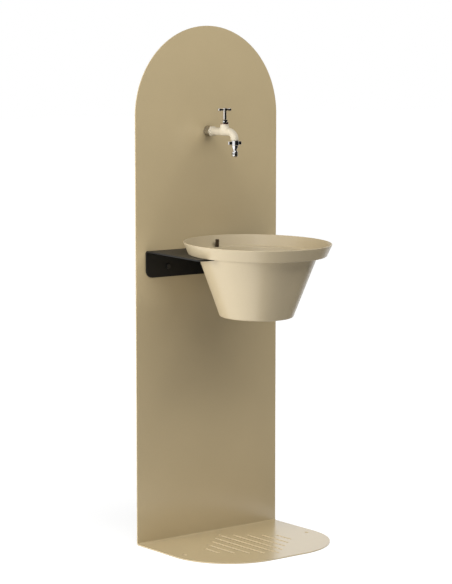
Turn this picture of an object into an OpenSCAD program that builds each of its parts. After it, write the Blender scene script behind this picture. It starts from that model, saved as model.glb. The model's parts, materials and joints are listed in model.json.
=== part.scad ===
// Garden standpipe: a folded sheet stand with an arched panel, a bib tap on the panel and a
// conical basin that hangs by its ledge in a forked bracket and lifts out.
// Millimetres, +Z up, the front faces -Y. The origin is on the floor, midway between the two
// ground-anchor holes.

/* [Stand sheet] */
// Width of the panel and of the base
stand_w = 480; // [450:5:560]
// Height of the arched panel above the floor
stand_h = 1392; // [1350:1:1600]
// Depth of the base in front of the panel
base_depth = 350; // [330:5:420]
// Radius of the two front corners of the base
base_corner_r = 180; // [120:5:200]
// Thickness of the sheet
sheet_t = 3; // [2:0.5:5]
// Inner radius of the fold between panel and base
fold_r = 4; // [2:0.5:8]

/* [Drain slots] */
// Number of slots, an odd number
slot_count = 9; // [5:2:9]
// Distance from slot to slot
slot_pitch = 31; // [24:1:34]
// Width of a slot
slot_w = 6; // [4:0.5:10]
// Length of the middle slot
slot_len = 264; // [220:2:280]
// How much shorter each slot is than its inner neighbour
slot_step = 50; // [20:1:52]
// Distance from the panel's face to the middle of the slots
slot_setback = 178; // [165:1:190]

/* [Ground anchors] */
// Distance between the two anchor holes
anchor_spacing = 420; // [380:2:424]
// Diameter of an anchor hole
anchor_d = 11; // [7:0.5:13]
// Distance from the panel's face to the anchor holes
anchor_setback = 173; // [160:1:190]

/* [Bracket] */
// Width of the bracket
bracket_w = 418; // [400:2:440]
// Thickness of the bracket's plate
bracket_t = 4; // [3:0.5:6]
// Inner radius of the bracket's bend
bracket_bend_r = 3; // [2:0.5:6]
// Height of the shelf's top at the panel
shelf_z = 796; // [760:1:800]
// Angle at which the shelf falls to the front, in degrees
shelf_fall = 1.5; // [0:0.1:3]
// Reach of the fork's arms from the panel
arm_reach = 238; // [225:1:260]
// Radius of the arms' front corners
arm_corner_r = 10; // [4:1:16]
// Height of the upright flange, from the shelf's top to its lower edge
flange_h = 73; // [60:1:90]
// Radius of the flange's lower corners
flange_corner_r = 20; // [5:1:26]
// Distance between the two bracket bolts
bolt_spacing = 276; // [200:2:340]
// Distance from the shelf's top down to the bolts
bolt_drop = 45; // [32:1:48]

/* [Bracket fasteners] */
// Thread diameter of the bolts and of the stud's shank
bolt_d = 8; // [6:1:10]
// Width across flats of bolt heads and nuts
bolt_flats = 13; // [12:0.5:17]
// Height of a bolt head
bolt_head_h = 5.3; // [4:0.1:7]
// Height of a nut
nut_h = 6.5; // [5:0.1:8]
// Outer diameter of a washer
washer_d = 17; // [15:0.5:21]
// Thickness of a washer
washer_t = 1.6; // [1:0.1:2.5]
// Length of thread that stands out of a nut
thread_end = 2.4; // [1:0.1:6]

/* [Basin] */
// Distance along the shelf from the panel to the basin's axis
basin_setback = 216; // [214:1:224]
// Outer diameter of the rim
rim_d = 395; // [380:1:404]
// Outer diameter of the collar at its lower edge
collar_d = 366; // [358:1:372]
// Height of the collar above the shelf
collar_h = 32.5; // [25:0.5:45]
// Outer diameter of the cone at the shelf
cone_top_d = 318; // [300:0.2:320]
// Outer diameter of the cone at the floor of the basin
cone_low_d = 195; // [150:1:210]
// Depth of the basin below the shelf
basin_depth = 164.5; // [150:0.5:200]
// Thickness of the basin's wall
basin_wall = 3; // [2:0.1:3.4]
// Outer radius of the basin's lower edge
basin_edge_r = 5; // [4:0.5:14]
// Outer radius between the ledge and the collar
ledge_edge_r = 2.5; // [2:0.5:6]
// Diameter of the drain hole
drain_d = 32; // [24:1:44]

/* [Locating stud] */
// Diameter of the stud above the shelf
stud_d = 10; // [9:0.5:12]
// Height of the stud above the basin's ledge
stud_h = 20.5; // [12:0.5:26]
// Distance from the basin's axis to the stud
stud_orbit_r = 174.5; // [170:0.5:174.5]
// Bevel at the top of the stud
stud_bevel = 1; // [0.5:0.1:2]

/* [Drain plug] */
// Outer diameter of the plug's flange
plug_flange_d = 48; // [46:1:60]
// Thickness of the plug's flange
plug_flange_t = 3; // [2.5:0.5:5]
// Height of the bevel on the plug's flange
plug_bevel_h = 2; // [1:0.5:2]
// Inset of the bevel on the plug's flange
plug_bevel_in = 3; // [1:0.5:6]
// Diameter of the grip
plug_grip_d = 14; // [10:1:18]
// Diameter of the grip's waist
plug_waist_d = 9.4; // [7:0.2:10]
// Height of the grip above the flange
plug_grip_h = 12; // [8:1:20]

/* [Tap body] */
// Height of the tap's axis above the floor
tap_z = 1110; // [1090:1:1200]
// Reach from the panel to the outlet's axis
tap_reach = 118; // [112:1:140]
// Outer diameter of the tube
tube_d = 20.5; // [19:0.5:22]
// Outer diameter of the threaded tail
tail_d = 20.96; // [20:0.02:22]
// Length of free thread on the tail, behind the relief groove
tail_free_len = 19; // [12:1:40]
// Distance from the back nut to the thread's relief groove
tail_groove_gap = 0.5; // [0.3:0.1:3]
// Width of the thread's relief groove
tail_groove_w = 1.5; // [1:0.1:3]
// Depth of the thread's relief groove
tail_groove_depth = 0.8; // [0.4:0.1:1.5]
// Width across flats of the hexagon collar
hex_collar_flats = 25; // [24:0.5:30]
// Length of the hexagon collar
hex_collar_len = 6.5; // [5:0.5:12]
// Distance from the panel to the valve's axis
boss_setback = 74; // [70:0.5:77]
// Height of the boss's top above the tap's axis
boss_h = 20; // [20:0.5:26]
// Diameter of the boss at its top
boss_top_d = 21; // [20:0.5:24]
// Diameter of the round swelling that carries the boss
boss_ball_d = 25; // [24:0.5:27]
// Height of the swelling's centre above the tap's axis
boss_ball_h = 3.5; // [3:0.1:4.5]
// Centre-line radius of the spout's bend
bend_r = 22; // [20:0.5:24]
// Diameter of the waterway in the spout
spout_bore_d = 12; // [10:0.5:12]
// Diameter of the waterway in the tail
inlet_bore_d = 9; // [7:0.5:9]
// Distance of the tail's waterway below the tap's axis
inlet_drop = 4; // [3.5:0.1:4.2]
// Wall between the waterways of tail and spout
water_web = 2; // [1.5:0.1:3]
// Thread diameter of the outlet
outlet_d = 16.66; // [16:0.02:18]
// Length of the outlet's thread
outlet_len = 9; // [7:0.5:12]

/* [Tap fixing] */
// Diameter of the rosette at the panel
rosette_d = 29; // [28:0.5:40]
// Diameter of the rosette at its front
rosette_front_d = 25; // [24:0.5:28]
// Thickness of the rosette
rosette_t = 19; // [12:0.5:24]
// Thickness of the rosette's rim
rosette_rim_t = 2; // [0.5:0.1:3]
// Thickness of the rubber washer behind the panel
panel_washer_t = 2; // [1:0.5:3]
// Width across flats of the back nut
back_nut_flats = 30; // [27:0.5:34]
// Height of the back nut
back_nut_h = 8; // [6:0.5:10]

/* [Valve] */
// Rise of the spindle in one turn
spindle_pitch = 2; // [1:0.1:2]
// Turns from closed to open
open_turns = 1.5; // [0.5:0.25:1.5]
// Diameter of the chamber in the boss
chamber_d = 17; // [16:0.5:17]
// Diameter of the hole in the seat
seat_bore_d = 9; // [8.5:0.1:9]
// Outer diameter of the seat's rim
seat_rim_d = 12.4; // [12:0.1:12.6]
// Height of the seat's rim above the tap's axis
seat_h = 6.5; // [6:0.1:7]
// Depth of the groove round the seat's rim
seat_groove = 4; // [3:0.1:4.2]
// Diameter of the port from the groove to the spout
port_d = 5.2; // [4:0.1:5.4]
// Diameter of the valve washer
valve_washer_d = 14; // [13:0.5:15]
// Thickness of the valve washer
valve_washer_t = 3.5; // [2.5:0.1:4]
// Diameter of the jumper's disc
jumper_d = 15; // [14:0.5:15.5]
// Thickness of the jumper's disc
jumper_t = 2.5; // [1.5:0.1:3]
// Diameter of the jumper's guide stem
jumper_stem_d = 6; // [5:0.1:6.4]
// Length of the jumper's guide stem
jumper_stem_len = 5.5; // [4:0.5:6]
// Diameter of the screw that holds the valve washer
washer_screw_d = 3; // [2.5:0.1:3.5]
// Width across flats of the washer's nut
washer_nut_flats = 6; // [5.5:0.1:6.6]
// Height of the washer's nut
washer_nut_h = 2.6; // [2:0.1:3]

/* [Tap head] */
// Thread diameter of the spindle
spindle_d = 10; // [9:0.1:10.4]
// Length of the spindle's thread
spindle_thread_len = 6.5; // [6:0.1:8]
// Room left over the valve and the spindle's thread when they are fully raised
head_room = 0.5; // [0.3:0.1:1]
// Thickness of the bonnet's shoulder over the spindle's thread
shoulder_t = 1; // [0.8:0.1:2]
// Diameter of the spindle's stem
stem_d = 8; // [7:0.1:8.4]
// Thickness of the fibre washer under the bonnet
bonnet_washer_t = 1; // [0.5:0.1:1.5]
// Width across flats of the bonnet
bonnet_flats = 19; // [18:0.5:22]
// Height of the bonnet's hexagon
bonnet_hex_h = 5; // [4:0.5:7]
// Diameter of the bonnet's neck
bonnet_neck_d = 15; // [14:0.5:16]
// Depth of the hole for the packing
packing_well_h = 5; // [4:0.5:7]
// Diameter of the hole for the packing
packing_d = 12; // [11:0.5:12.4]
// Height of the packing
packing_h = 3; // [2:0.5:3.5]
// Width across flats of the gland nut
gland_flats = 15; // [14:0.5:17]
// Height of the gland nut's head
gland_h = 3.5; // [3:0.5:6]

/* [Handle] */
// Length of the handle's bar
bar_len = 45; // [40:1:60]
// Diameter of the bar's bulb ends
bar_bulb_d = 8.8; // [7:0.2:10]
// Length over which the bar swells into a bulb
bar_bulb_len = 8.8; // [5:0.2:10]
// Diameter of the bar between hub and bulbs
bar_waist_d = 6; // [5:0.2:7]
// Height of the bar's axis above the tap's axis
bar_h = 58.5; // [56:0.5:70]
// Diameter of the hub
hub_d = 12.4; // [12:0.2:16]
// Height of the hub
hub_h = 7.6; // [7:0.2:10]
// Rounding of the hub's edges
hub_edge = 1.2; // [0.5:0.1:2]
// Thickness of the hub's top, which the screw clamps
hub_top_t = 2; // [1.5:0.1:3]
// Diameter of the handle's neck
neck_d = 10.4; // [10:0.2:12]
// Diameter of the neck's foot
neck_foot_d = 12.2; // [12:0.2:14]
// Height of the curve at the neck's foot
neck_foot_h = 2.5; // [1.5:0.5:6]
// Gap between the closed handle and the gland nut
handle_gap = 0.6; // [0.3:0.1:2]
// Diameter of the spindle's end in the hub
spindle_end_d = 6.4; // [5.8:0.1:6.8]
// Diameter of the handle's screw
handle_screw_d = 4; // [3:0.1:4.2]
// Depth of the handle's screw in the spindle
handle_screw_len = 8; // [5:0.5:12]
// Diameter of the screw's head
screw_head_d = 7; // [6:0.2:9]
// Diameter of the flat on top of the screw's head
screw_top_d = 4.6; // [3:0.2:6]
// Height of the screw's head
screw_head_h = 1.4; // [1:0.1:2.5]
// Height of the bevel on the screw's head
screw_bevel_h = 0.7; // [0.4:0.1:0.9]

/* [Hose connector] */
// Outer diameter of the connector's nut
connector_d = 22; // [21:0.5:26]
// Height of the connector's nut
connector_h = 12.8; // [12:0.1:16]
// Gap between the spout's shoulder and the nut
connector_gap = 0.5; // [0.3:0.1:2]
// Thickness of the outlet's rubber washer
outlet_washer_t = 2; // [1:0.5:2.5]
// Length across the two lugs
lug_span = 44; // [36:1:50]
// Width of a lug
lug_w = 7; // [5:0.5:9]
// Height of a lug
lug_h = 9; // [6:0.5:10]
// Diameter of the nipple's cone under the nut
cone_d = 19.6; // [18:0.2:21]
// Diameter of the cone's lower end
nipple_cone_low_d = 14.4; // [13:0.2:16]
// Diameter of the nipple's waist
waist_d = 11.4; // [11:0.1:12.4]
// Diameter of the nipple's end
nipple_d = 17; // [16:0.1:18]
// Length of the cone under the nut
nipple_cone_len = 9; // [6:0.5:12]
// Length of the waist
waist_len = 4.5; // [3:0.5:8]
// Length of the shoulder between waist and end
shoulder_len = 4; // [2:0.5:6]
// Length of the nipple's round end, groove included
nipple_land_len = 10; // [9:0.5:14]
// Length of the bevel at the tip
tip_len = 3; // [2:0.5:4]
// Diameter of the tip
tip_d = 14; // [13:0.2:15]
// Diameter of the waterway in the nipple
nipple_bore_d = 8; // [6:0.2:8.4]
// Width of the ring groove
groove_w = 2.4; // [2:0.1:3]
// Depth of the ring groove
groove_depth = 1.7; // [1.3:0.1:1.9]
// Thickness of the rubber ring
o_ring_t = 1.55; // [1.1:0.05:1.6]

/* [Clearances] */
// Radial gap between the two halves of a thread, drawn plain
thread_gap = 0.05; // [0.02:0.01:0.1]
// Radial gap of a shaft that turns or slides in its hole
running_gap = 0.05; // [0.02:0.01:0.1]
// Radial gap of a bolt or tail in a drilled sheet
hole_gap = 0.4; // [0.2:0.1:0.8]
// Radial gap round pieces that lift out by hand
lift_gap = 0.5; // [0.3:0.1:1]
// Gap between the basin's cone and the fork
fork_gap = 1.2; // [0.6:0.1:3]
// Gap between the basin's ledge and the shelf that it rests on
seat_gap = 0.05; // [0.02:0.01:0.2]

/* [Hidden] */
$fn = 96;
past = 1;          // how far a cut runs past the faces that it opens
arc_steps = 8;     // straight steps in a small rounding
hex_bevel = 30;    // angle of the bevel on nuts and bolt heads
boss_inset = 0.2;  // how much slimmer the boss's foot is than the swelling

// Colours
sand = "#c4b48f";
cream = "#e6dabc";
black = "#1c1a18";
chrome = "#d8dade";
brass = "#c2a04e";
rubber = "#262626";
fibre = "#8a2f22";

// Basin profile, radius and height above the shelf
cone_top_r = cone_top_d / 2;
cone_low_r = cone_low_d / 2;
cone_angle = atan((cone_top_r - cone_low_r) / basin_depth);
collar_angle = atan((rim_d - collar_d) / 2 / collar_h);
lip_r = basin_wall / 2;
drain_r = drain_d / 2;
stud_y = stud_orbit_r - basin_setback;
fork_r = cone_top_r + fork_gap;

// Bracket bend, seen from the side
bend_out_r = bracket_bend_r + bracket_t;
bend_shelf_y = -bend_out_r * (1 + sin(shelf_fall)) / cos(shelf_fall);
flange_low_z = shelf_z - flange_h;
bolt_hole_r = bolt_d / 2 + hole_gap;

// The tap's tail behind the panel, as distances in front of the panel's face
back_nut_end = -sheet_t - panel_washer_t - back_nut_h;
tail_groove_start = back_nut_end - tail_groove_gap;
tail_groove_end = tail_groove_start - tail_groove_w;
tail_end = tail_groove_end - tail_free_len;

// Heights in the tap's head, above the tap's axis, with the valve closed
lift = spindle_pitch * open_turns;
washer_top_h = seat_h + valve_washer_t;
jumper_top_h = washer_top_h + jumper_t;
jumper_stem_top_h = jumper_top_h + jumper_stem_len;
port_setback = seat_rim_d / 2 + port_d / 2 + running_gap;
spindle_thread_top_h = jumper_top_h + spindle_thread_len;
bonnet_h = boss_h + bonnet_washer_t;
skirt_low_h = jumper_top_h + lift + head_room;
thread_bore_top_h = spindle_thread_top_h + lift + head_room;
packing_low_h = thread_bore_top_h + shoulder_t;
packing_top_h = packing_low_h + packing_h;
bonnet_top_h = packing_low_h + packing_well_h;
gland_top_h = bonnet_top_h + gland_h;
neck_low_h = gland_top_h + handle_gap;
hub_low_h = bar_h - hub_h / 2;
hub_top_h = bar_h + hub_h / 2;
spindle_top_h = hub_top_h - hub_top_t;

// Heights under the outlet, below the tap's axis
spout_end = -bend_r;
outlet_end = spout_end - outlet_len;
connector_top = spout_end - connector_gap;
connector_floor = outlet_end - outlet_washer_t;
connector_low = connector_top - connector_h;
waist_top = connector_low - nipple_cone_len;
waist_low = waist_top - waist_len;
land_top = waist_low - shoulder_len;
land_low = land_top - nipple_land_len;
nipple_low = land_low - tip_len;
groove_mid = (land_top + land_low) / 2;
groove_r = nipple_d / 2 - groove_depth;

// Places

// The panel's front face, on the floor
module at_panel() {
    translate([0, anchor_setback, 0]) children();
}

// The sloping shelf: its top is the plane z = 0, and y = 0 is at the panel
module at_shelf() {
    at_panel() translate([0, 0, shelf_z]) rotate([shelf_fall, 0, 0]) children();
}

module at_basin() {
    at_shelf() translate([0, -basin_setback, seat_gap]) children();
}

module at_stud() {
    at_shelf() translate([0, stud_y, 0]) children();
}

// Both bracket bolts, with z pointing out to the front from the panel's face
module at_bolts() {
    at_panel() for (side = [-1, 1])
        translate([side * bolt_spacing / 2, 0, shelf_z - bolt_drop]) rotate([90, 0, 0]) children();
}

// The tap's axis at the panel's face
module at_tap() {
    at_panel() translate([0, 0, tap_z]) children();
}

// The tap's axis, with z pointing out to the front
module along_tap() {
    at_tap() rotate([90, 0, 0]) children();
}

module at_valve() {
    at_tap() translate([0, -boss_setback, 0]) children();
}

module at_outlet() {
    at_tap() translate([0, -tap_reach, 0]) children();
}

// Shapes that repeat

// A rod from one height to another
module rod(r, low, high) {
    translate([0, 0, low]) cylinder(r = r, h = high - low);
}

// A tapered rod
module taper(r_low, r_high, low, high) {
    translate([0, 0, low]) cylinder(r1 = r_low, r2 = r_high, h = high - low);
}

// A round ring
module ring(r_out, r_in, low, high) {
    difference() {
        rod(r_out, low, high);
        rod(r_in, low - past, high + past);
    }
}

// A hexagon bar whose corners are bevelled at its ends
module hex_bar(flats, low, high, bevel_low = true, bevel_high = true) {
    flat_r = flats / 2;
    corner_r = flat_r / cos(30);
    clear_r = corner_r + past;
    bevel = (clear_r - flat_r) * tan(hex_bevel);
    intersection() {
        translate([0, 0, low]) rotate(30) cylinder(r = corner_r, h = high - low, $fn = 6);
        rotate_extrude() polygon([
            [0, low], [bevel_low ? flat_r : clear_r, low], [clear_r, low + (bevel_low ? bevel : 0)],
            [clear_r, high - (bevel_high ? bevel : 0)], [bevel_high ? flat_r : clear_r, high], [0, high]
        ]);
    }
}

// A hexagon nut with a plain hole
module hex_nut(flats, r_in, low, high) {
    difference() {
        hex_bar(flats, low, high);
        rod(r_in, low - past, high + past);
    }
}

// A flat bar with a round end, from the axis out along +X
module round_bar(length, width) {
    translate([0, -width / 2]) square([length - width / 2, width]);
    translate([length - width / 2, 0]) circle(d = width);
}

// A slot with round ends, along y
module slot(length, width) {
    run = length - width;
    translate([-width / 2, -run / 2]) square([width, run]);
    for (end = [-1, 1]) translate([0, end * run / 2]) circle(d = width);
}

// Points on an arc from one angle to another
function arc(centre, r, from, to) = [
    for (i = [0 : arc_steps])
        let (a = from + (to - from) * i / arc_steps)
        centre + r * [cos(a), sin(a)]
];

// A smooth step from 0 to 1
function ease(t) = let (u = min(1, max(0, t))) u * u * (3 - 2 * u);

// Centre of an arc of radius r in the corner of a flat floor and a wall that leans out by angle
function corner_centre(foot, r, angle) =
    foot + [r * (1 - sin(angle)) / cos(angle) * sin(angle) - r * cos(angle), r];

// Stand

// Outline of the base, with the fold's side on y = 0
module base_outline() {
    difference() {
        translate([-stand_w / 2, -base_depth]) square([stand_w, base_depth - fold_r]);
        for (side = [0, 1]) mirror([side, 0])
            translate([stand_w / 2 - base_corner_r, base_corner_r - base_depth])
                mirror([0, 1]) corner_waste(base_corner_r);
    }
}

module drain_slots() {
    middle = (slot_count - 1) / 2;
    for (i = [-middle : middle])
        translate([i * slot_pitch, -slot_setback]) slot(slot_len - abs(i) * slot_step, slot_w);
}

// The round fold between the base and the panel
module fold() {
    translate([0, -fold_r, sheet_t + fold_r]) rotate([90, 0, 90])
        linear_extrude(stand_w, center = true) intersection() {
            difference() {
                circle(r = fold_r + sheet_t);
                circle(r = fold_r);
            }
            translate([0, -fold_r - sheet_t]) square(fold_r + sheet_t);
        }
}

module panel_outline() {
    arch_r = stand_w / 2;
    low = sheet_t + fold_r;
    translate([-arch_r, low]) square([stand_w, stand_h - arch_r - low]);
    translate([0, stand_h - arch_r]) circle(r = arch_r);
}

module stand_sheet() {
    color(sand) difference() {
        at_panel() union() {
            linear_extrude(sheet_t) difference() {
                base_outline();
                drain_slots();
            }
            fold();
            translate([0, sheet_t, 0]) rotate([90, 0, 0]) linear_extrude(sheet_t) panel_outline();
        }
        for (side = [-1, 1])
            translate([side * anchor_spacing / 2, 0, 0]) rod(anchor_d / 2, -past, sheet_t + past);
        at_bolts() rod(bolt_hole_r, -sheet_t - past, past);
        along_tap() rod(tail_d / 2 + hole_gap, -sheet_t - past, past);
    }
}

// Bracket

// A point of the shelf, seen from the side
function shelf_point(y, z) =
    [y * cos(shelf_fall) - z * sin(shelf_fall), shelf_z + y * sin(shelf_fall) + z * cos(shelf_fall)];

// Side view of the bent plate, y to the right and z up
module bracket_profile() {
    bend = shelf_point(bend_shelf_y, -bend_out_r);
    turn = 90 + shelf_fall;
    polygon(concat(
        [[0, flange_low_z]],
        arc(bend, bend_out_r, 0, turn),
        [shelf_point(-arm_reach, 0), shelf_point(-arm_reach, -bracket_t)],
        arc(bend, bracket_bend_r, turn, 0),
        [[-bracket_t, flange_low_z]]
    ));
}

// What a rounded corner takes away, for a corner that points to +x and +y
module corner_waste(r) {
    difference() {
        square(r + past);
        circle(r = r);
    }
}

module basin_bracket() {
    color(black) difference() {
        at_panel() rotate([90, 0, 90]) linear_extrude(bracket_w, center = true) bracket_profile();
        at_basin() rod(fork_r, -bracket_t - past, past);
        at_basin() translate([-fork_r, -arm_reach, -bracket_t - past])
            cube([2 * fork_r, arm_reach, bracket_t + 2 * past]);
        at_stud() rod(bolt_hole_r, -bracket_t - past, past);
        at_bolts() rod(bolt_hole_r, -past, bracket_t + past);
        for (side = [0, 1]) mirror([side, 0, 0]) {
            at_shelf() translate([bracket_w / 2 - arm_corner_r, arm_corner_r - arm_reach, -bracket_t - past])
                linear_extrude(bracket_t + 2 * past) mirror([0, 1]) corner_waste(arm_corner_r);
            at_panel() translate([bracket_w / 2 - flange_corner_r, past, flange_low_z + flange_corner_r])
                rotate([90, 0, 0]) linear_extrude(bracket_t + 2 * past)
                    mirror([0, 1]) corner_waste(flange_corner_r);
        }
    }
}

module bracket_bolts() {
    color(black) at_bolts() {
        hex_bar(bolt_flats, bracket_t, bracket_t + bolt_head_h, bevel_low = false);
        rod(bolt_d / 2, -sheet_t - washer_t - nut_h - thread_end, bracket_t);
    }
}

module bracket_washers() {
    color(black) at_bolts() ring(washer_d / 2, bolt_d / 2 + thread_gap, -sheet_t - washer_t, -sheet_t);
}

module bracket_nuts() {
    nut_top = -sheet_t - washer_t;
    color(black) at_bolts() hex_nut(bolt_flats, bolt_d / 2 + thread_gap, nut_top - nut_h, nut_top);
}

// Locating stud

module locating_stud() {
    top = basin_wall + stud_h;
    color(black) at_stud() {
        rod(stud_d / 2, 0, top - stud_bevel);
        taper(stud_d / 2, stud_d / 2 - stud_bevel, top - stud_bevel, top);
        rod(bolt_d / 2, -bracket_t - washer_t - nut_h - thread_end, 0);
    }
}

module stud_washer() {
    color(black) at_stud()
        ring(washer_d / 2, bolt_d / 2 + thread_gap, -bracket_t - washer_t, -bracket_t);
}

module stud_nut() {
    nut_top = -bracket_t - washer_t;
    color(black) at_stud() hex_nut(bolt_flats, bolt_d / 2 + thread_gap, nut_top - nut_h, nut_top);
}

// Basin

// Half section of the basin, from the drain hole out to the rim and back inside
function basin_section() =
    let (
        floor_centre = corner_centre([cone_low_r, -basin_depth], basin_edge_r, cone_angle),
        ledge_centre = corner_centre([collar_d / 2, 0], ledge_edge_r, collar_angle),
        lip_centre = [rim_d / 2 - lip_r * tan(collar_angle) - lip_r / cos(collar_angle), collar_h - lip_r],
        inner_top_r = cone_top_r - basin_wall / cos(cone_angle) + basin_wall * tan(cone_angle),
        inner_collar_r = collar_d / 2 - basin_wall / cos(collar_angle) + basin_wall * tan(collar_angle)
    )
    concat(
        [[drain_r, -basin_depth]],
        arc(floor_centre, basin_edge_r, -90, -cone_angle),
        [[cone_top_r, 0]],
        arc(ledge_centre, ledge_edge_r, -90, -collar_angle),
        arc(lip_centre, lip_r, -collar_angle, 180 - collar_angle),
        [[inner_collar_r, basin_wall], [inner_top_r, basin_wall]],
        arc(floor_centre, basin_edge_r - basin_wall, -cone_angle, -90),
        [[drain_r, basin_wall - basin_depth]]
    );

module basin() {
    color(sand) difference() {
        at_basin() rotate_extrude() polygon(basin_section());
        at_stud() rod(stud_d / 2 + lift_gap, -past, basin_wall + past);
    }
}

module drain_plug() {
    floor_h = basin_wall - basin_depth;
    flange_top = floor_h + plug_flange_t;
    bevel_low = flange_top - plug_bevel_h;
    waist_h = flange_top + plug_grip_h / 2;
    color(rubber) at_basin() {
        rod(drain_r - lift_gap, -basin_depth, floor_h);
        rod(plug_flange_d / 2, floor_h, bevel_low);
        taper(plug_flange_d / 2, plug_flange_d / 2 - plug_bevel_in, bevel_low, flange_top);
        taper(plug_grip_d / 2, plug_waist_d / 2, flange_top, waist_h);
        taper(plug_waist_d / 2, plug_grip_d / 2, waist_h, flange_top + plug_grip_h);
    }
}

// Tap body and its fixing

module wall_rosette() {
    color(chrome) along_tap() difference() {
        union() {
            rod(rosette_d / 2, 0, rosette_rim_t);
            taper(rosette_d / 2, rosette_front_d / 2, rosette_rim_t, rosette_t);
        }
        rod(tail_d / 2 + thread_gap, -past, rosette_t + past);
    }
}

// Quarter of a tube that turns from forward to down, round the spout's bend
module spout_quarter(r) {
    translate([0, bend_r - tap_reach, -bend_r]) rotate(180, [1, 0, 1])
        rotate_extrude(angle = 90) translate([bend_r, 0]) circle(r = r);
}

module tap_shell() {
    rotate([90, 0, 0]) {
        rod(tail_d / 2, tail_end, rosette_t);
        hex_bar(hex_collar_flats, rosette_t, rosette_t + hex_collar_len, bevel_low = false);
        rod(tube_d / 2, rosette_t, tap_reach - bend_r);
    }
    spout_quarter(tube_d / 2);
    translate([0, -tap_reach, 0]) rod(outlet_d / 2, outlet_end, spout_end);
    translate([0, -boss_setback, 0]) {
        translate([0, 0, boss_ball_h]) sphere(d = boss_ball_d);
        taper(boss_ball_d / 2 - boss_inset, boss_top_d / 2, boss_ball_h, boss_h);
    }
}

// The waterway: in under the seat, up through it, over its rim and out down the spout
module tap_waterway() {
    rotate([90, 0, 0]) {
        translate([0, -inlet_drop, 0])
            rod(inlet_bore_d / 2, tail_end - past, boss_setback + seat_bore_d / 2);
        rod(spout_bore_d / 2, boss_setback + seat_bore_d / 2 + water_web, tap_reach - bend_r);
    }
    spout_quarter(spout_bore_d / 2);
    translate([0, -tap_reach, 0]) rod(spout_bore_d / 2, outlet_end - past, spout_end);
    translate([0, -boss_setback, 0]) {
        rod(chamber_d / 2, seat_h, boss_h + past);
        ring(chamber_d / 2, seat_rim_d / 2, seat_h - seat_groove, seat_h);
        rod(seat_bore_d / 2, -inlet_drop, seat_h + past);
        translate([0, -port_setback, 0]) rod(port_d / 2, 0, seat_h);
    }
}

module tap_body() {
    color(cream) at_tap() difference() {
        tap_shell();
        tap_waterway();
        rotate([90, 0, 0])
            ring(tail_d / 2 + past, tail_d / 2 - tail_groove_depth, tail_groove_end, tail_groove_start);
    }
}

module panel_washer() {
    color(rubber) along_tap()
        ring(back_nut_flats / 2, tail_d / 2 + thread_gap, -sheet_t - panel_washer_t, -sheet_t);
}

module back_nut() {
    color(brass) along_tap()
        hex_nut(back_nut_flats, tail_d / 2 + thread_gap, back_nut_end, back_nut_end + back_nut_h);
}

// Tap head

module bonnet() {
    hex_top = bonnet_h + bonnet_hex_h;
    color(chrome) at_valve() difference() {
        union() {
            rod(chamber_d / 2 - thread_gap, skirt_low_h, hex_top);
            hex_bar(bonnet_flats, bonnet_h, hex_top, bevel_low = false);
            rod(bonnet_neck_d / 2, bonnet_h, bonnet_top_h);
        }
        rod(spindle_d / 2 + running_gap, skirt_low_h - past, thread_bore_top_h);
        rod(stem_d / 2 + running_gap, thread_bore_top_h - past, packing_low_h + past);
        rod(packing_d / 2, packing_low_h, bonnet_top_h + past);
    }
}

module bonnet_washer() {
    color(fibre) at_valve() ring(boss_top_d / 2, chamber_d / 2, boss_h, bonnet_h);
}

module gland_packing() {
    color(rubber) at_valve()
        ring(packing_d / 2, stem_d / 2 + running_gap, packing_low_h, packing_top_h);
}

module gland_nut() {
    color(chrome) at_valve() difference() {
        union() {
            rod(packing_d / 2 - thread_gap, packing_top_h, gland_top_h);
            hex_bar(gland_flats, bonnet_top_h, gland_top_h, bevel_low = false);
        }
        rod(stem_d / 2 + running_gap, packing_top_h - past, gland_top_h + past);
    }
}

module spindle() {
    color(brass) at_valve() difference() {
        union() {
            rod(spindle_d / 2, jumper_top_h, spindle_thread_top_h);
            rod(stem_d / 2, spindle_thread_top_h, hub_low_h);
            rod(spindle_end_d / 2, hub_low_h, spindle_top_h);
        }
        rod(jumper_stem_d / 2 + running_gap, jumper_top_h - past, jumper_stem_top_h + head_room);
        rod(handle_screw_d / 2 + thread_gap, spindle_top_h - handle_screw_len, spindle_top_h + past);
    }
}

// Half section of one arm of the handle, radius and distance from the hub's axis
function arm_section() =
    let (
        bulb_r = bar_bulb_d / 2,
        waist_r = bar_waist_d / 2,
        bulb_mid = bar_len / 2 - bulb_r
    )
    concat(
        [[0, 0], [waist_r, 0]],
        [for (i = [0 : arc_steps])
            let (t = i / arc_steps)
            [waist_r + (bulb_r - waist_r) * ease(t), bulb_mid + (t - 1) * bar_bulb_len]],
        [for (i = [1 : arc_steps])
            let (a = 90 * i / arc_steps)
            [bulb_r * cos(a), bulb_mid + bulb_r * sin(a)]]
    );

// Half section of the handle's neck and hub, radius and height
function neck_section() =
    let (neck_r = neck_d / 2, foot_r = neck_foot_d / 2, hub_r = hub_d / 2)
    concat(
        [[0, neck_low_h], [foot_r, neck_low_h]],
        [for (i = [1 : arc_steps])
            let (t = i / arc_steps)
            [foot_r + (neck_r - foot_r) * sin(90 * t), neck_low_h + neck_foot_h * t]],
        [[neck_r, hub_low_h]],
        arc([hub_r - hub_edge, hub_low_h + hub_edge], hub_edge, -90, 0),
        arc([hub_r - hub_edge, hub_top_h - hub_edge], hub_edge, 0, 90),
        [[0, hub_top_h]]
    );

module tee_handle() {
    color(chrome) at_valve() difference() {
        union() {
            rotate_extrude() polygon(neck_section());
            for (side = [-1, 1])
                translate([0, 0, bar_h]) rotate([0, side * 90, 0]) rotate_extrude() polygon(arm_section());
        }
        rod(stem_d / 2 + running_gap, neck_low_h - past, hub_low_h);
        rod(spindle_end_d / 2 + running_gap, hub_low_h - past, spindle_top_h);
        rod(handle_screw_d / 2 + thread_gap, spindle_top_h - past, hub_top_h + past);
    }
}

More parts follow.
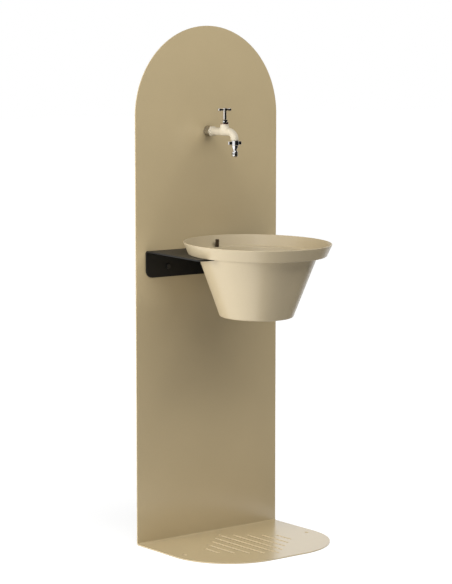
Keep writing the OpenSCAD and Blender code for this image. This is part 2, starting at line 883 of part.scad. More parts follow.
module handle_screw() {
    head_top = hub_top_h + screw_head_h;
    color(chrome) at_valve() {
        rod(handle_screw_d / 2, spindle_top_h - handle_screw_len + head_room, hub_top_h);
        rod(screw_head_d / 2, hub_top_h, head_top - screw_bevel_h);
        taper(screw_head_d / 2, screw_top_d / 2, head_top - screw_bevel_h, head_top);
    }
}

// Valve

module jumper_valve() {
    color(brass) at_valve() {
        rod(jumper_d / 2, washer_top_h, jumper_top_h);
        rod(jumper_stem_d / 2, jumper_top_h, jumper_stem_top_h);
        rod(washer_screw_d / 2, seat_h - washer_nut_h, washer_top_h);
    }
}

module valve_washer() {
    color(rubber) at_valve()
        ring(valve_washer_d / 2, washer_screw_d / 2 + thread_gap, seat_h, washer_top_h);
}

module washer_nut() {
    color(brass) at_valve()
        hex_nut(washer_nut_flats, washer_screw_d / 2 + thread_gap, seat_h - washer_nut_h, seat_h);
}

// Hose connector

module nipple_shell() {
    taper(nipple_cone_low_d / 2, cone_d / 2, waist_top, connector_low);
    rod(waist_d / 2, waist_low, waist_top);
    taper(nipple_d / 2, waist_d / 2, land_top, waist_low);
    rod(nipple_d / 2, land_low, land_top);
    taper(tip_d / 2, nipple_d / 2, nipple_low, land_low);
}

module hose_connector() {
    lug_mid = (connector_top + connector_low) / 2;
    color(chrome) at_outlet() difference() {
        union() {
            rod(connector_d / 2, connector_low, connector_top);
            for (side = [0, 180])
                translate([0, 0, lug_mid - lug_h / 2]) rotate(side)
                    linear_extrude(lug_h) round_bar(lug_span / 2, lug_w);
            nipple_shell();
        }
        rod(outlet_d / 2 + running_gap, connector_floor, connector_top + past);
        rod(nipple_bore_d / 2, nipple_low - past, connector_floor + past);
        ring(nipple_d / 2 + past, groove_r, groove_mid - groove_w / 2, groove_mid + groove_w / 2);
    }
}

module outlet_washer() {
    color(rubber) at_outlet() ring(outlet_d / 2, nipple_bore_d / 2, connector_floor, outlet_end);
}

module connector_o_ring() {
    color(rubber) at_outlet() translate([0, 0, groove_mid])
        rotate_extrude() translate([groove_r + running_gap + o_ring_t / 2, 0]) circle(d = o_ring_t);
}

stand_sheet();
basin_bracket();
bracket_bolts();
bracket_washers();
bracket_nuts();
locating_stud();
stud_washer();
stud_nut();
basin();
drain_plug();
wall_rosette();
tap_body();
panel_washer();
back_nut();
bonnet();
bonnet_washer();
gland_packing();
gland_nut();
spindle();
tee_handle();
handle_screw();
jumper_valve();
valve_washer();
washer_nut();
hose_connector();
outlet_washer();
connector_o_ring();
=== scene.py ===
"""Finished surfaces of a garden standpipe: a folded sheet, a bib tap on its panel and a basin in a fork.

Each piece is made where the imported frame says, stands for one or more of its nodes and rides on one of
its bodies. Lengths are in metres, the front faces -Y and the floor is z = 0.
"""

import itertools
import json
import math

import bmesh
import bpy
import numpy as np
from bpy.props import FloatProperty, FloatVectorProperty, IntProperty, PointerProperty
from bpy.types import Operator, Panel, PropertyGroup
from mathutils import Matrix, Vector


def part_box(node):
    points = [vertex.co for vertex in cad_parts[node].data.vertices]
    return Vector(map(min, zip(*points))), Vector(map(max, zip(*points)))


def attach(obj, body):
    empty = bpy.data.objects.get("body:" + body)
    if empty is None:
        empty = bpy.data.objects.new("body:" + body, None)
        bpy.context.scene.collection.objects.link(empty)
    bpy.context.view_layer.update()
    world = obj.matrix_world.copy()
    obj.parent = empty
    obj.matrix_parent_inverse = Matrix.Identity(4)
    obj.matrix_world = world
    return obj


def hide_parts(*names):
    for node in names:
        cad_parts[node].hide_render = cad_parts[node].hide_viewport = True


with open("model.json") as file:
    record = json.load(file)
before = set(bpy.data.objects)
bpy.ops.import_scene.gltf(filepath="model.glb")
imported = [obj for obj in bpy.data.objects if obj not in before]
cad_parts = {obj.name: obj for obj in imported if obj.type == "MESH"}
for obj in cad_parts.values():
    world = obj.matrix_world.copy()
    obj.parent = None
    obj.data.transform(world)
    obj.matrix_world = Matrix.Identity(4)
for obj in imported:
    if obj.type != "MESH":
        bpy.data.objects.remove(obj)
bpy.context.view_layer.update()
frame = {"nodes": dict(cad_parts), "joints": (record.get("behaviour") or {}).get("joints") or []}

bl_info = {
    "name": "Garden Standpipe",
    "version": (1, 0, 0),
    "blender": (4, 5, 0),
    "location": "View3D > Sidebar > Standpipe",
    "description": "Makes the finished surfaces of a garden standpipe around its packed frame",
    "category": "Object",
}

MM = 0.001        # a millimetre in metres

# Places that the frame gives
JOINTS = {joint["name"]: joint for joint in frame["joints"]}
SHEET_LOW, SHEET_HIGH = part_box("stand_sheet")
PANEL_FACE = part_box("wall_rosette")[1].y
SHEET_THICK = SHEET_HIGH.y - PANEL_FACE
VALVE = Vector(JOINTS["handle_turn"]["pos_m"])
OUTLET = Vector((VALVE.x, JOINTS["connector_turn"]["pos_m"][1], VALVE.z))
TAP = Vector((VALVE.x, PANEL_FACE, VALVE.z))
SHELF_FALL = math.atan2(-JOINTS["basin_lift"]["axis"][1], JOINTS["basin_lift"]["axis"][2])
FORWARD = Matrix.Rotation(math.pi / 2, 4, "X")

# How finely shapes are divided
TURN_STEPS = 96
HOLE_STEPS = 48
CORNER_STEPS = 48
SLOT_END_STEPS = 12
RING_STEPS = 20
ARCH_STEPS = 144
FORK_STEPS = 96
FLARE_STEPS = 8
FILLET_STEPS = 5
EDGE_STEPS = 2
THREAD_ROWS = 8
FOLD_CUTS = 10
SETTLE_STEPS = 4
SAME_POINT = 0.001 * MM           # points that are nearer become one
SHARP_ANGLE = math.radians(38)    # steeper edges aren't shaded smooth

# Grids on which cast pieces are skinned: their pitches, and how far the casting's grid reaches
CASTING_PITCH = 0.5 * MM
HANDLE_PITCH = 0.32 * MM
CONNECTOR_PITCH = 0.34 * MM
CASTING_SIDE = 16 * MM
CASTING_AHEAD = 13 * MM
CASTING_BACK = 1 * MM
LEAST_SLOPE = 0.1                 # keeps a point from a long jump where a field is flat

# Hexagons, threads and fits
HEX_BEVEL = math.radians(30)
HEX_SOFTNESS = 70                 # a higher number gives sharper corners
HEX_FLAT = 0.94                   # share of the width inside the bevel
THREAD_DEPTH = 0.6                # share of the pitch
TAIL_THREAD_DEPTH = 0.64
FIT_GAP = 0.05 * MM               # radial gap of pieces that fit into each other
REACH_PAST = 2 * MM               # how far grids and cutters reach past a shape

# Where the studio lights stand: degrees from the front towards the right, degrees of height, metres
KEY_LIGHT = {"azimuth": -97, "elevation": 4, "distance": 2.5, "width": 1.2, "height": 1.2}
FRONT_LIGHT = {"azimuth": 1, "elevation": 53, "distance": 4.2, "width": 6.0, "height": 3.0}
LIGHT_AIM = Vector((0, 0, 0.8))

# The floor: its half width, how much light it sends back, and how it turns white away from the object
FLOOR_HALF = 30.0
FLOOR_TONE = (0.8, 0.8, 0.8)
SHOWN_FLOOR_TONE = (0.3, 0.3, 0.3)
GLOW_NEAR, GLOW_FAR = 0.5, 2.0
NEAR_GLOW, FAR_GLOW = 0.80, 1.0

# The dark card: where it starts and ends in degrees from the front, and its (radius, height) profile
CARD_TURNS = np.linspace(-34, 104, 24)
CARD_PROFILE = [(0.34, 1 * MM), (3.0, 1 * MM), (3.0, 6.0)]
CARD_TONE = (0.01, 0.01, 0.01)

# Finishes: the tone of dust, and how matt a clear layer is
DUST_TONE = (0.62, 0.58, 0.50)
CLEAR_ROUGHNESS = 0.22


# Settings

def length(name, description, millimetres):
    """A length that a user may change, given in millimetres."""
    return FloatProperty(name=name, description=description, default=millimetres * MM, min=0.0,
                         precision=5, subtype="DISTANCE", unit="LENGTH")


def colour(name, description, value):
    """A linear colour that a user may change."""
    return FloatVectorProperty(name=name, description=description, default=value, size=3,
                               min=0.0, max=1.0, subtype="COLOR")


def tilt(name, description, degrees):
    """An angle that a user may change, given in degrees."""
    return FloatProperty(name=name, description=description, default=math.radians(degrees),
                         subtype="ANGLE", unit="ROTATION")


def wattage(name, description, watts):
    """A light's power that a user may change."""
    return FloatProperty(name=name, description=description, default=watts, min=0.0,
                         subtype="POWER", unit="POWER")


class StandSettings(PropertyGroup):
    """Sizes of the folded sheet"""
    coat: colour("Coat", "Colour of the sand powder coat", (0.485, 0.388, 0.227))
    edge: length("Edge", "Rounding of the coated edges", 0.6)
    fold_radius: length("Fold radius", "Inner radius of the fold between panel and base", 4)
    corner_radius: length("Corner radius", "Radius of the base's front corners", 180)
    slot_count: IntProperty(name="Slots", description="Number of drain slots", default=9, min=1)
    slot_pitch: length("Slot pitch", "Distance from slot to slot", 31)
    slot_width: length("Slot width", "Width of a drain slot", 6)
    slot_length: length("Slot length", "Length of the middle slot", 264)
    slot_step: length("Slot step", "How much shorter each slot is than its inner neighbour", 50)
    slot_setback: length("Slot setback", "Distance from the panel to the middle of the slots", 178)
    anchor_spacing: length("Anchor spacing", "Distance between the ground-anchor holes", 420)
    anchor_diameter: length("Anchor hole", "Diameter of a ground-anchor hole", 11)


class BracketSettings(PropertyGroup):
    """Sizes of the forked bracket and its fasteners"""
    coat: colour("Coat", "Colour of the black powder coat", (0.0085, 0.0080, 0.0075))
    edge: length("Edge", "Rounding of the coated edges", 0.7)
    width: length("Width", "Width of the bracket", 418)
    thickness: length("Thickness", "Thickness of the plate", 4)
    bend_radius: length("Bend radius", "Inner radius of the bend", 3)
    shelf_height: length("Shelf height", "Height of the shelf's top at the panel", 796)
    reach: length("Reach", "Reach of the fork's arms from the panel", 238)
    arm_corner: length("Arm corner", "Radius of the arms' front corners", 10)
    flange_height: length("Flange height", "From the shelf's top down to the flange's lower edge", 73)
    flange_corner: length("Flange corner", "Radius of the flange's lower corners", 20)
    fork_radius: length("Fork radius", "Radius of the fork's round cut", 160.2)
    bolt_spacing: length("Bolt spacing", "Distance between the two bolts", 276)
    bolt_drop: length("Bolt drop", "From the shelf's top down to the bolts", 45)
    bolt_diameter: length("Bolt diameter", "Thread diameter of the bolts and of the stud", 8)
    bolt_pitch: length("Bolt pitch", "Pitch of the bolts' thread", 1.25)
    bolt_flats: length("Bolt flats", "Width across flats of bolt heads and nuts", 13)
    head_height: length("Head height", "Height of a bolt head", 5.3)
    nut_height: length("Nut height", "Height of a nut", 6.5)
    washer_diameter: length("Washer diameter", "Outer diameter of a washer", 17)
    washer_thickness: length("Washer thickness", "Thickness of a washer", 1.6)
    thread_end: length("Thread end", "Length of thread that stands out of a nut", 2.4)
    hole_gap: length("Hole gap", "Radial gap of a bolt in a drilled sheet", 0.4)
    stud_diameter: length("Stud diameter", "Diameter of the stud above the shelf", 10)
    stud_height: length("Stud height", "Height of the stud above the shelf", 23.5)
    stud_setback: length("Stud setback", "Distance along the shelf from the panel to the stud", 41.5)
    stud_bevel: length("Stud bevel", "Bevel at the top of the stud", 1)
    stud_foot: length("Stud foot", "Rounding at the stud's foot", 0.3)
    washer_edge: length("Washer edge", "Rounding of a washer's edges", 0.25)
    nut_chamfer: length("Nut chamfer", "Chamfer of a nut's bore", 0.5)
    dimple: length("Dimple", "Diameter of the dimple in a bolt head", 4.8)
    dimple_floor: length("Dimple floor", "Diameter of the dimple's floor", 4)
    dimple_depth: length("Dimple depth", "Depth of the dimple", 0.2)


class BasinSettings(PropertyGroup):
    """Sizes of the basin and its plug"""
    plastic: colour("Plastic", "Colour of the basin's sand plastic", (0.436, 0.360, 0.232))
    setback: length("Setback", "Distance along the shelf from the panel to the basin's axis", 216)
    seat_gap: length("Seat gap", "Gap between the ledge and the shelf", 0.05)
    rim_diameter: length("Rim diameter", "Outer diameter of the rim", 395)
    collar_diameter: length("Collar diameter", "Outer diameter of the collar at its lower edge", 366)
    collar_height: length("Collar height", "Height of the collar above the shelf", 32.5)
    cone_top: length("Cone top", "Outer diameter of the cone at the shelf", 318)
    cone_low: length("Cone low", "Outer diameter of the cone at the floor", 195)
    depth: length("Depth", "Depth of the basin below the shelf", 164.5)
    wall: length("Wall", "Thickness of the wall", 3)
    floor_edge: length("Floor edge", "Outer radius of the lower edge", 5)
    ledge_edge: length("Ledge edge", "Outer radius between ledge and collar", 2.5)
    cone_edge: length("Cone edge", "Outer radius between cone and ledge", 1)
    inner_collar_edge: length("Inner collar edge", "Inner radius between ledge and collar", 2)
    inner_cone_edge: length("Inner cone edge", "Inner radius between cone and ledge", 2.5)
    lip: length("Lip", "Rounding of the rim's two edges", 1.41)
    drain: length("Drain", "Diameter of the drain hole", 32)
    drain_edge: length("Drain edge", "Rounding of the drain hole's edges", 0.4)
    stud_gap: length("Stud gap", "Radial gap round the stud and the plug", 0.5)
    plug_flange: length("Plug flange", "Diameter of the plug's flange", 48)
    plug_thickness: length("Plug thickness", "Thickness of the plug's flange", 3)
    plug_bevel: length("Plug bevel", "Inset of the bevel on the plug's flange", 3)
    grip_diameter: length("Grip diameter", "Diameter of the plug's grip", 14)
    grip_waist: length("Grip waist", "Diameter of the grip's waist", 9.4)
    grip_height: length("Grip height", "Height of the plug's grip", 12)
    grip_curve: length("Grip curve", "Radius of the grip's waist", 6)
    grip_foot: length("Grip foot", "Radius at the grip's foot", 0.8)
    grip_edge: length("Grip edge", "Rounding of the grip's top", 1.2)
    plug_bevel_height: length("Plug bevel height", "Height of the bevel on the plug's flange", 2)
    plug_edge: length("Plug edge", "Rounding of the flange's outer edges", 0.3)
    plug_top_edge: length("Plug top edge", "Rounding where the flange's bevel ends", 0.6)
    plug_neck_edge: length("Plug neck edge", "Rounding of the plug's lower edge", 1)


class TapSettings(PropertyGroup):
    """Sizes of the tap's body and head, measured from the tap's axis"""
    paint: colour("Paint", "Colour of the cream enamel", (0.520, 0.465, 0.360))
    reach: length("Reach", "From the panel to the outlet's axis", 118)
    tube: length("Tube", "Outer diameter of the tube", 20.5)
    tail: length("Tail", "Outer diameter of the threaded tail", 20.96)
    tail_length: length("Tail length", "Length of the tail behind the panel's face", 34)
    tail_pitch: length("Tail pitch", "Pitch of the tail's thread", 1.814)
    groove_start: length("Groove start", "From the panel's face back to the thread's relief groove", 13.5)
    groove_width: length("Groove width", "Width of the relief groove", 1.5)
    groove_depth: length("Groove depth", "Depth of the relief groove", 0.8)
    collar_flats: length("Collar flats", "Width across flats of the hexagon collar", 25)
    collar_length: length("Collar length", "Length of the hexagon collar", 6.5)
    boss_height: length("Boss height", "Height of the boss's top", 20)
    boss_top: length("Boss top", "Diameter of the boss at its top", 21)
    ball: length("Swelling", "Diameter of the round swelling under the boss", 25)
    ball_height: length("Swelling height", "Height of the swelling's centre", 3.5)
    bend_radius: length("Bend radius", "Centre-line radius of the spout's bend", 22)
    slim_blend: length("Slimming", "How widely the outer side of the bend is flattened", 8)
    slim_turn: tilt("Slimming turn", "Slope at which the outer side of the bend is flattened", 55)
    blend: length("Blend", "Fillets of the casting between tube, swelling and boss", 5)
    edge: length("Edge", "Rounding of the casting's edges", 0.8)
    bevel_edge: length("Bevel edge", "Rounding of the bevel on the hexagon collar", 0.6)
    collar_blend: length("Collar blend", "Fillet between the hexagon collar and the tube", 1.5)
    spout_bore: length("Spout bore", "Diameter of the waterway in the spout", 12)
    inlet_bore: length("Inlet bore", "Diameter of the waterway in the tail", 9)
    inlet_drop: length("Inlet drop", "Distance of the tail's waterway below the axis", 4)
    outlet: length("Outlet", "Thread diameter of the outlet", 16.66)
    outlet_length: length("Outlet length", "Length of the outlet's thread", 9)
    outlet_pitch: length("Outlet pitch", "Pitch of the outlet's thread", 1.337)
    chamber: length("Chamber", "Diameter of the chamber in the boss", 17)
    seat_height: length("Seat height", "Height of the valve seat", 6.5)
    seat_bore: length("Seat bore", "Diameter of the hole in the seat", 9)
    seat_rim: length("Seat rim", "Outer diameter of the seat's rim", 12.4)
    seat_groove: length("Seat groove", "Depth of the groove round the seat's rim", 4)
    port: length("Port", "Diameter of the port from the groove to the spout", 5.2)
    water_web: length("Water web", "Wall between the waterways of tail and spout", 2)
    rosette: length("Rosette", "Diameter of the rosette at the panel", 29)
    rosette_front: length("Rosette front", "Diameter of the rosette at its front", 25)
    rosette_thickness: length("Rosette thickness", "Thickness of the rosette", 19)
    rosette_rim: length("Rosette rim", "Thickness of the rosette's rim", 2)
    rosette_rim_edge: length("Rosette rim edge", "Rounding of the rosette's rim", 0.4)
    rosette_edge: length("Rosette edge", "Rounding of the rosette's front", 0.8)
    rosette_bore_edge: length("Rosette bore edge", "Rounding of the rosette's bore", 0.3)
    back_nut_flats: length("Back nut flats", "Width across flats of the back nut", 30)
    back_nut_start: length("Back nut start", "From the panel's face back to the back nut", 5)
    back_nut_height: length("Back nut height", "Height of the back nut", 8)
    back_nut_chamfer: length("Back nut chamfer", "Chamfer of the back nut's bore", 0.8)
    skirt_low: length("Skirt low", "Height of the bonnet's lower end in the boss", 16)
    bonnet_low: length("Bonnet low", "Height of the bonnet's shoulder on the boss", 21)
    bonnet_flats: length("Bonnet flats", "Width across flats of the bonnet", 19)
    bonnet_hexagon: length("Bonnet hexagon", "Height of the bonnet's hexagon", 5)
    bonnet_neck: length("Bonnet neck", "Diameter of the bonnet's neck", 15)
    bonnet_top: length("Bonnet top", "Height of the bonnet's top", 28.5)
    spindle_bore: length("Spindle bore", "Diameter of the bonnet's thread for the spindle", 10.1)
    spindle_bore_top: length("Spindle bore top", "Height of that thread's upper end", 22.5)
    packing: length("Packing", "Diameter of the hole for the packing", 12)
    packing_low: length("Packing low", "Height of the packing's lower end", 23.5)
    packing_top: length("Packing top", "Height of the packing's upper end", 26.5)
    gland_flats: length("Gland flats", "Width across flats of the gland nut", 15)
    gland_top: length("Gland top", "Height of the gland nut's top", 32)
    stem_bore: length("Stem bore", "Diameter of the holes round the spindle's stem", 8.1)
    head_chamfer: length("Head chamfer", "Chamfer of the bonnet's neck and of the gland nut's bore", 0.4)


class HandleSettings(PropertyGroup):
    """Sizes of the tee handle and its screw, measured from the tap's axis"""
    bar_length: length("Bar length", "Length of the bar", 45)
    bar_height: length("Bar height", "Height of the bar's axis", 58.5)
    bulb: length("Bulb", "Diameter of the bar's bulb ends", 8.8)
    bulb_length: length("Bulb length", "Length over which the bar swells into a bulb", 8.8)
    waist: length("Waist", "Diameter of the bar between hub and bulbs", 6)
    hub: length("Hub", "Diameter of the hub", 12.4)
    hub_height: length("Hub height", "Height of the hub", 7.6)
    hub_edge: length("Hub edge", "Rounding of the hub's edges", 1.2)
    hub_roof: length("Hub roof", "Thickness of the hub's top, which the screw clamps", 2)
    neck: length("Neck", "Diameter of the neck", 10.4)
    neck_low: length("Neck low", "Height of the neck's foot", 32.6)
    foot: length("Foot", "Diameter of the neck's foot", 12.2)
    foot_height: length("Foot height", "Height of the curve at the neck's foot", 2.5)
    stem_end_bore: length("Stem end bore", "Diameter of the hole for the spindle's end", 6.5)
    blend: length("Blend", "Fillet between bar and hub", 2.2)
    neck_blend: length("Neck blend", "Fillet between neck and hub", 1.2)
    screw: length("Screw", "Diameter of the screw", 4)
    screw_length: length("Screw length", "Length of the screw under its head", 9.5)
    screw_head: length("Screw head", "Diameter of the screw's head", 7)
    screw_top: length("Screw top", "Diameter of the flat on the screw's head", 4.6)
    screw_height: length("Screw height", "Height of the screw's head", 1.4)
    screw_bevel: length("Screw bevel", "Height of the bevel on the screw's head", 0.7)
    screw_slot: length("Screw slot", "Width of the screwdriver slot", 0.9)
    slot_depth: length("Slot depth", "Depth of the screwdriver slot", 0.6)
    slot_turn: tilt("Slot turn", "Direction of the screwdriver slot", 25)
    screw_end_edge: length("Screw end edge", "Rounding of the screw's end", 0.4)
    screw_low_edge: length("Screw low edge", "Rounding under the screw's head", 0.2)
    screw_edge: length("Screw edge", "Rounding where the head's bevel starts", 0.5)
    screw_top_edge: length("Screw top edge", "Rounding where the head's bevel ends", 0.6)


class ConnectorSettings(PropertyGroup):
    """Sizes of the hose connector, measured down from the tap's axis"""
    nut: length("Nut", "Outer diameter of the nut", 22)
    nut_top: length("Nut top", "From the axis down to the nut's top", 22.5)
    nut_height: length("Nut height", "Height of the nut", 12.8)
    nut_floor: length("Nut floor", "From the axis down to the floor inside the nut", 33)
    lug_span: length("Lug span", "Length across the two lugs", 44)
    lug_width: length("Lug width", "Width of a lug", 7)
    lug_height: length("Lug height", "Height of a lug", 9)
    lug_edge: length("Lug edge", "Rounding of the lugs' edges", 1.3)
    edge: length("Edge", "Rounding of the nipple's corners", 0.5)
    blend: length("Blend", "Fillet between lugs and nut", 1.6)
    cone: length("Cone", "Diameter of the cone under the nut", 19.6)
    cone_low: length("Cone low", "Diameter of the cone's lower end", 14.4)
    cone_length: length("Cone length", "Length of the cone under the nut", 9)
    waist: length("Waist", "Diameter of the waist", 11.4)
    waist_length: length("Waist length", "Length of the waist", 4.5)
    shoulder: length("Shoulder", "Length of the shoulder under the waist", 4)
    nipple: length("Nipple", "Diameter of the nipple's end", 17)
    land: length("Land", "Length of the nipple's round end", 10)
    tip_length: length("Tip length", "Length of the bevel at the tip", 3)
    tip: length("Tip", "Diameter of the tip", 14)
    bore: length("Bore", "Diameter of the waterway", 8)
    thread_bore: length("Thread bore", "Diameter of the hole for the outlet's thread", 16.76)
    groove_width: length("Groove width", "Width of the ring groove", 2.4)
    groove_depth: length("Groove depth", "Depth of the ring groove", 1.7)
    groove_edge: length("Groove edge", "Rounding of the ring groove's edges", 0.3)
    ring: length("Ring", "Thickness of the rubber ring", 1.55)
    ring_gap: length("Ring gap", "Gap between the ring and the groove's floor", 0.05)


class StageSettings(PropertyGroup):
    """Camera, floor and studio light"""
    camera_place: FloatVectorProperty(
        name="Camera", description="Where the camera stands", default=(-3.3942, -4.2558, 1.3246),
        size=3, subtype="TRANSLATION", unit="LENGTH")
    camera_turn: tilt("Camera turn", "Heading of the camera, from the front towards the right", 37.9743)
    camera_dip: tilt("Camera dip", "How far the camera looks down", 6.6825)
    lens: FloatProperty(name="Lens", description="Focal length on a 36 mm sensor", default=126.852,
                        min=1.0, subtype="DISTANCE_CAMERA", unit="CAMERA")
    floor_drop: length("Floor drop", "Gap between the base and the floor", 0.2)
    fill: FloatProperty(name="Fill", description="Strength of the even light from all round", default=0.04,
                        min=0.0, max=1.0, subtype="FACTOR")
    key_power: wattage("Key", "Power of the soft light at the left", 74.0)
    front_power: wattage("Front", "Power of the large soft light above the front", 236.0)


class StandpipeSettings(PropertyGroup):
    """All settings of the standpipe"""
    stand: PointerProperty(type=StandSettings)
    bracket: PointerProperty(type=BracketSettings)
    basin: PointerProperty(type=BasinSettings)
    tap: PointerProperty(type=TapSettings)
    handle: PointerProperty(type=HandleSettings)
    connector: PointerProperty(type=ConnectorSettings)
    stage: PointerProperty(type=StageSettings)


# Outlines and sections

def arc(centre, radius, start, end, steps):
    """Points of an arc in a plane, with its angles in degrees."""
    return [(centre[0] + radius * math.cos(angle), centre[1] + radius * math.sin(angle))
            for angle in np.radians(np.linspace(start, end, steps + 1))]


def rounded(corners):
    """Closed outline whose corners (x, y, fillet) are rounded by arcs."""
    points = []
    neighbours = zip(corners[-1:] + corners[:-1], corners, corners[1:] + corners[:1])
    for before, (x, y, fillet), after in neighbours:
        here = Vector((x, y))
        if fillet == 0:
            points.append((x, y))
            continue
        back = (Vector(before[:2]) - here).normalized()
        ahead = (Vector(after[:2]) - here).normalized()
        half = back.angle(ahead) / 2
        centre = here + (back + ahead).normalized() * (fillet / math.sin(half))
        first = here + back * (fillet / math.tan(half)) - centre
        last = here + ahead * (fillet / math.tan(half)) - centre
        start = math.degrees(math.atan2(first.y, first.x))
        sweep = math.degrees(math.atan2(first.cross(last), first.dot(last)))
        points += arc(centre, fillet, start, start + sweep, FILLET_STEPS)
    return points


def circle_loop(centre, radius, steps=HOLE_STEPS):
    """Closed round outline."""
    return arc(centre, radius, 0, 360, steps)[:-1]


def hole_pair(spacing, y, radius):
    """Outlines of two round holes, left and right of the middle line."""
    return [circle_loop((side * spacing / 2, y), radius) for side in (-1, 1)]


def slot_loop(centre, run, width):
    """Closed outline of a slot along y, whose length is run."""
    radius = width / 2
    reach = run / 2 - radius
    return (arc((centre[0], centre[1] + reach), radius, 0, 180, SLOT_END_STEPS)
            + arc((centre[0], centre[1] - reach), radius, 180, 360, SLOT_END_STEPS))


# Meshes of turned pieces, nuts and threads

def angles():
    """The directions round an axis at which rows have their points."""
    return np.linspace(0, 2 * math.pi, TURN_STEPS, endpoint=False)


def row(radius, height):
    """Points round the z axis, whose radius and height may differ from point to point.

    A radius of 0 gives one point.
    """
    if np.isscalar(radius) and radius == 0:
        return [(0.0, 0.0, height)]
    turn = angles()
    radius = np.broadcast_to(radius, turn.shape)
    height = np.broadcast_to(height, turn.shape)
    return list(zip(radius * np.cos(turn), radius * np.sin(turn), height))


def hexagon_radius(flats):
    """Radius of a hexagon with slightly soft corners, at each angle."""
    sides = np.maximum(np.cos(angles()[:, None] - np.radians([0, 60, 120, 180, 240, 300])), 0)
    return flats / 2 / (sides ** HEX_SOFTNESS).sum(1) ** (1 / HEX_SOFTNESS)


def hex_rows(flats, height, bevel):
    """A hexagon's end: the circle where its bevel starts, and the bevelled outline.

    Bevel is 1 at an upper end and -1 at a lower one.
    """
    flat_radius = HEX_FLAT * flats / 2
    edge = hexagon_radius(flats)
    fall = (edge - flat_radius) * math.tan(HEX_BEVEL)
    return [row(flat_radius, height), row(edge, height - bevel * fall)]


def nut_rows(flats, low, high, hole, chamfer):
    """A nut, whose hole is chamfered at the lower end."""
    return (hex_rows(flats, high, 1) + hex_rows(flats, low, -1)[::-1]
            + [row(hole + chamfer, low), row(hole, low + chamfer), row(hole, high)])


def thread_rows(diameter, pitch, low, high, share=THREAD_DEPTH):
    """Rows of a screw thread from one height to another, with a lead-in at both ends.

    Share is the thread's depth as a share of its pitch.
    """
    depth = share * pitch
    count = max(2, round(abs(high - low) / pitch * THREAD_ROWS))
    rows = []
    for height in np.linspace(low, high, count + 1):
        phase = (height / pitch - angles() / (2 * math.pi)) % 1
        ridge = np.abs(2 * phase - 1)
        lead = min(abs(height - low), abs(height - high)) + diameter / 2 - depth
        rows.append(row(np.minimum(diameter / 2 - depth * ridge, lead), height))
    return rows


def skin_rows(bm, rows, closed):
    """Joins rows of points by faces. Closed joins the last row to the first, as on a piece with a hole."""
    made = [[bm.verts.new(point) for point in points] for points in rows]
    pairs = list(zip(made, made[1:]))
    if closed:
        pairs.append((made[-1], made[0]))
    for first, second in pairs:
        count = max(len(first), len(second))
        for i in range(count):
            j = (i + 1) % count
            corners = [first[i % len(first)], first[j % len(first)],
                       second[j % len(second)], second[i % len(second)]]
            bm.faces.new(list(dict.fromkeys(corners)))


def rows_mesh(rows, places=(Matrix.Identity(4),)):
    """Mesh of a turned piece, repeated at each place."""
    closed = len(rows[0]) > 1
    bm = bmesh.new()
    for place in places:
        before = len(bm.verts)
        skin_rows(bm, rows, closed)
        bm.verts.ensure_lookup_table()
        bmesh.ops.transform(bm, matrix=place, verts=bm.verts[before:])
    bmesh.ops.recalc_face_normals(bm, faces=bm.faces)
    mesh = bpy.data.meshes.new("turned")
    bm.to_mesh(mesh)
    bm.free()
    return mesh


def turned_mesh(section, places=(Matrix.Identity(4),)):
    """Mesh turned about z from (radius, height) points, a closed loop or an open one from axis to axis."""
    return rows_mesh([row(radius, height) for radius, height in section], places)


# Meshes of plates

def plate_mesh(loops, thickness, edge):
    """A flat plate with rounded edges on z = 0, from closed loops of points: its outline, then holes."""
    curve = bpy.data.curves.new("plate", "CURVE")
    curve.dimensions = "2D"
    curve.fill_mode = "BOTH"
    curve.extrude = thickness / 2 - edge
    curve.bevel_depth = edge
    curve.bevel_resolution = EDGE_STEPS
    curve.offset = -edge
    for loop in loops:
        spline = curve.splines.new("POLY")
        spline.points.add(len(loop) - 1)
        for point, (x, y) in zip(spline.points, loop):
            point.co = (x, y, 0, 1)
        spline.use_cyclic_u = True
    holder = bpy.data.objects.new("plate", curve)
    bpy.context.scene.collection.objects.link(holder)
    bpy.context.view_layer.update()
    mesh = bpy.data.meshes.new_from_object(holder.evaluated_get(bpy.context.evaluated_depsgraph_get()))
    bpy.data.objects.remove(holder)
    bpy.data.curves.remove(curve)
    bm = bmesh.new()
    bm.from_mesh(mesh)
    bmesh.ops.remove_doubles(bm, verts=bm.verts, dist=SAME_POINT)
    bmesh.ops.translate(bm, vec=(0, 0, thickness / 2), verts=bm.verts)
    bmesh.ops.recalc_face_normals(bm, faces=bm.faces)
    bm.to_mesh(mesh)
    bm.free()
    return mesh


def fold_mesh(mesh, start, run, bend):
    """Cuts a plate across its fold, from y = start over a length of run, and bends it point by point."""
    bm = bmesh.new()
    bm.from_mesh(mesh)
    for cut in np.linspace(start, start + run, FOLD_CUTS + 1):
        everything = bm.verts[:] + bm.edges[:] + bm.faces[:]
        bmesh.ops.bisect_plane(bm, geom=everything, plane_co=(0, cut, 0), plane_no=(0, 1, 0))
    for vert in bm.verts:
        vert.co = bend(vert.co)
    bmesh.ops.recalc_face_normals(bm, faces=bm.faces)
    bm.to_mesh(mesh)
    bm.free()
    return mesh


# Distance fields of cast pieces, which are negative inside

def smooth_min(first, second, fillet):
    """Both shapes together, with a fillet in the corner between them."""
    mix = np.clip(0.5 + 0.5 * (second - first) / fillet, 0, 1)
    return second + (first - second) * mix - fillet * mix * (1 - mix)


def smooth_max(first, second, fillet):
    """What two shapes share, with the edge between them rounded."""
    return -smooth_min(-first, -second, fillet)


def shared_field(side, end):
    """Distance to what lies inside two limits that stand square to each other."""
    return np.hypot(np.maximum(side, 0), np.maximum(end, 0)) + np.minimum(np.maximum(side, end), 0)


def rod_field(points, radius, low, high):
    """Distance to a rod along z."""
    side = np.hypot(points[:, 0], points[:, 1]) - radius
    end = np.abs(points[:, 2] - (low + high) / 2) - (high - low) / 2
    return shared_field(side, end)


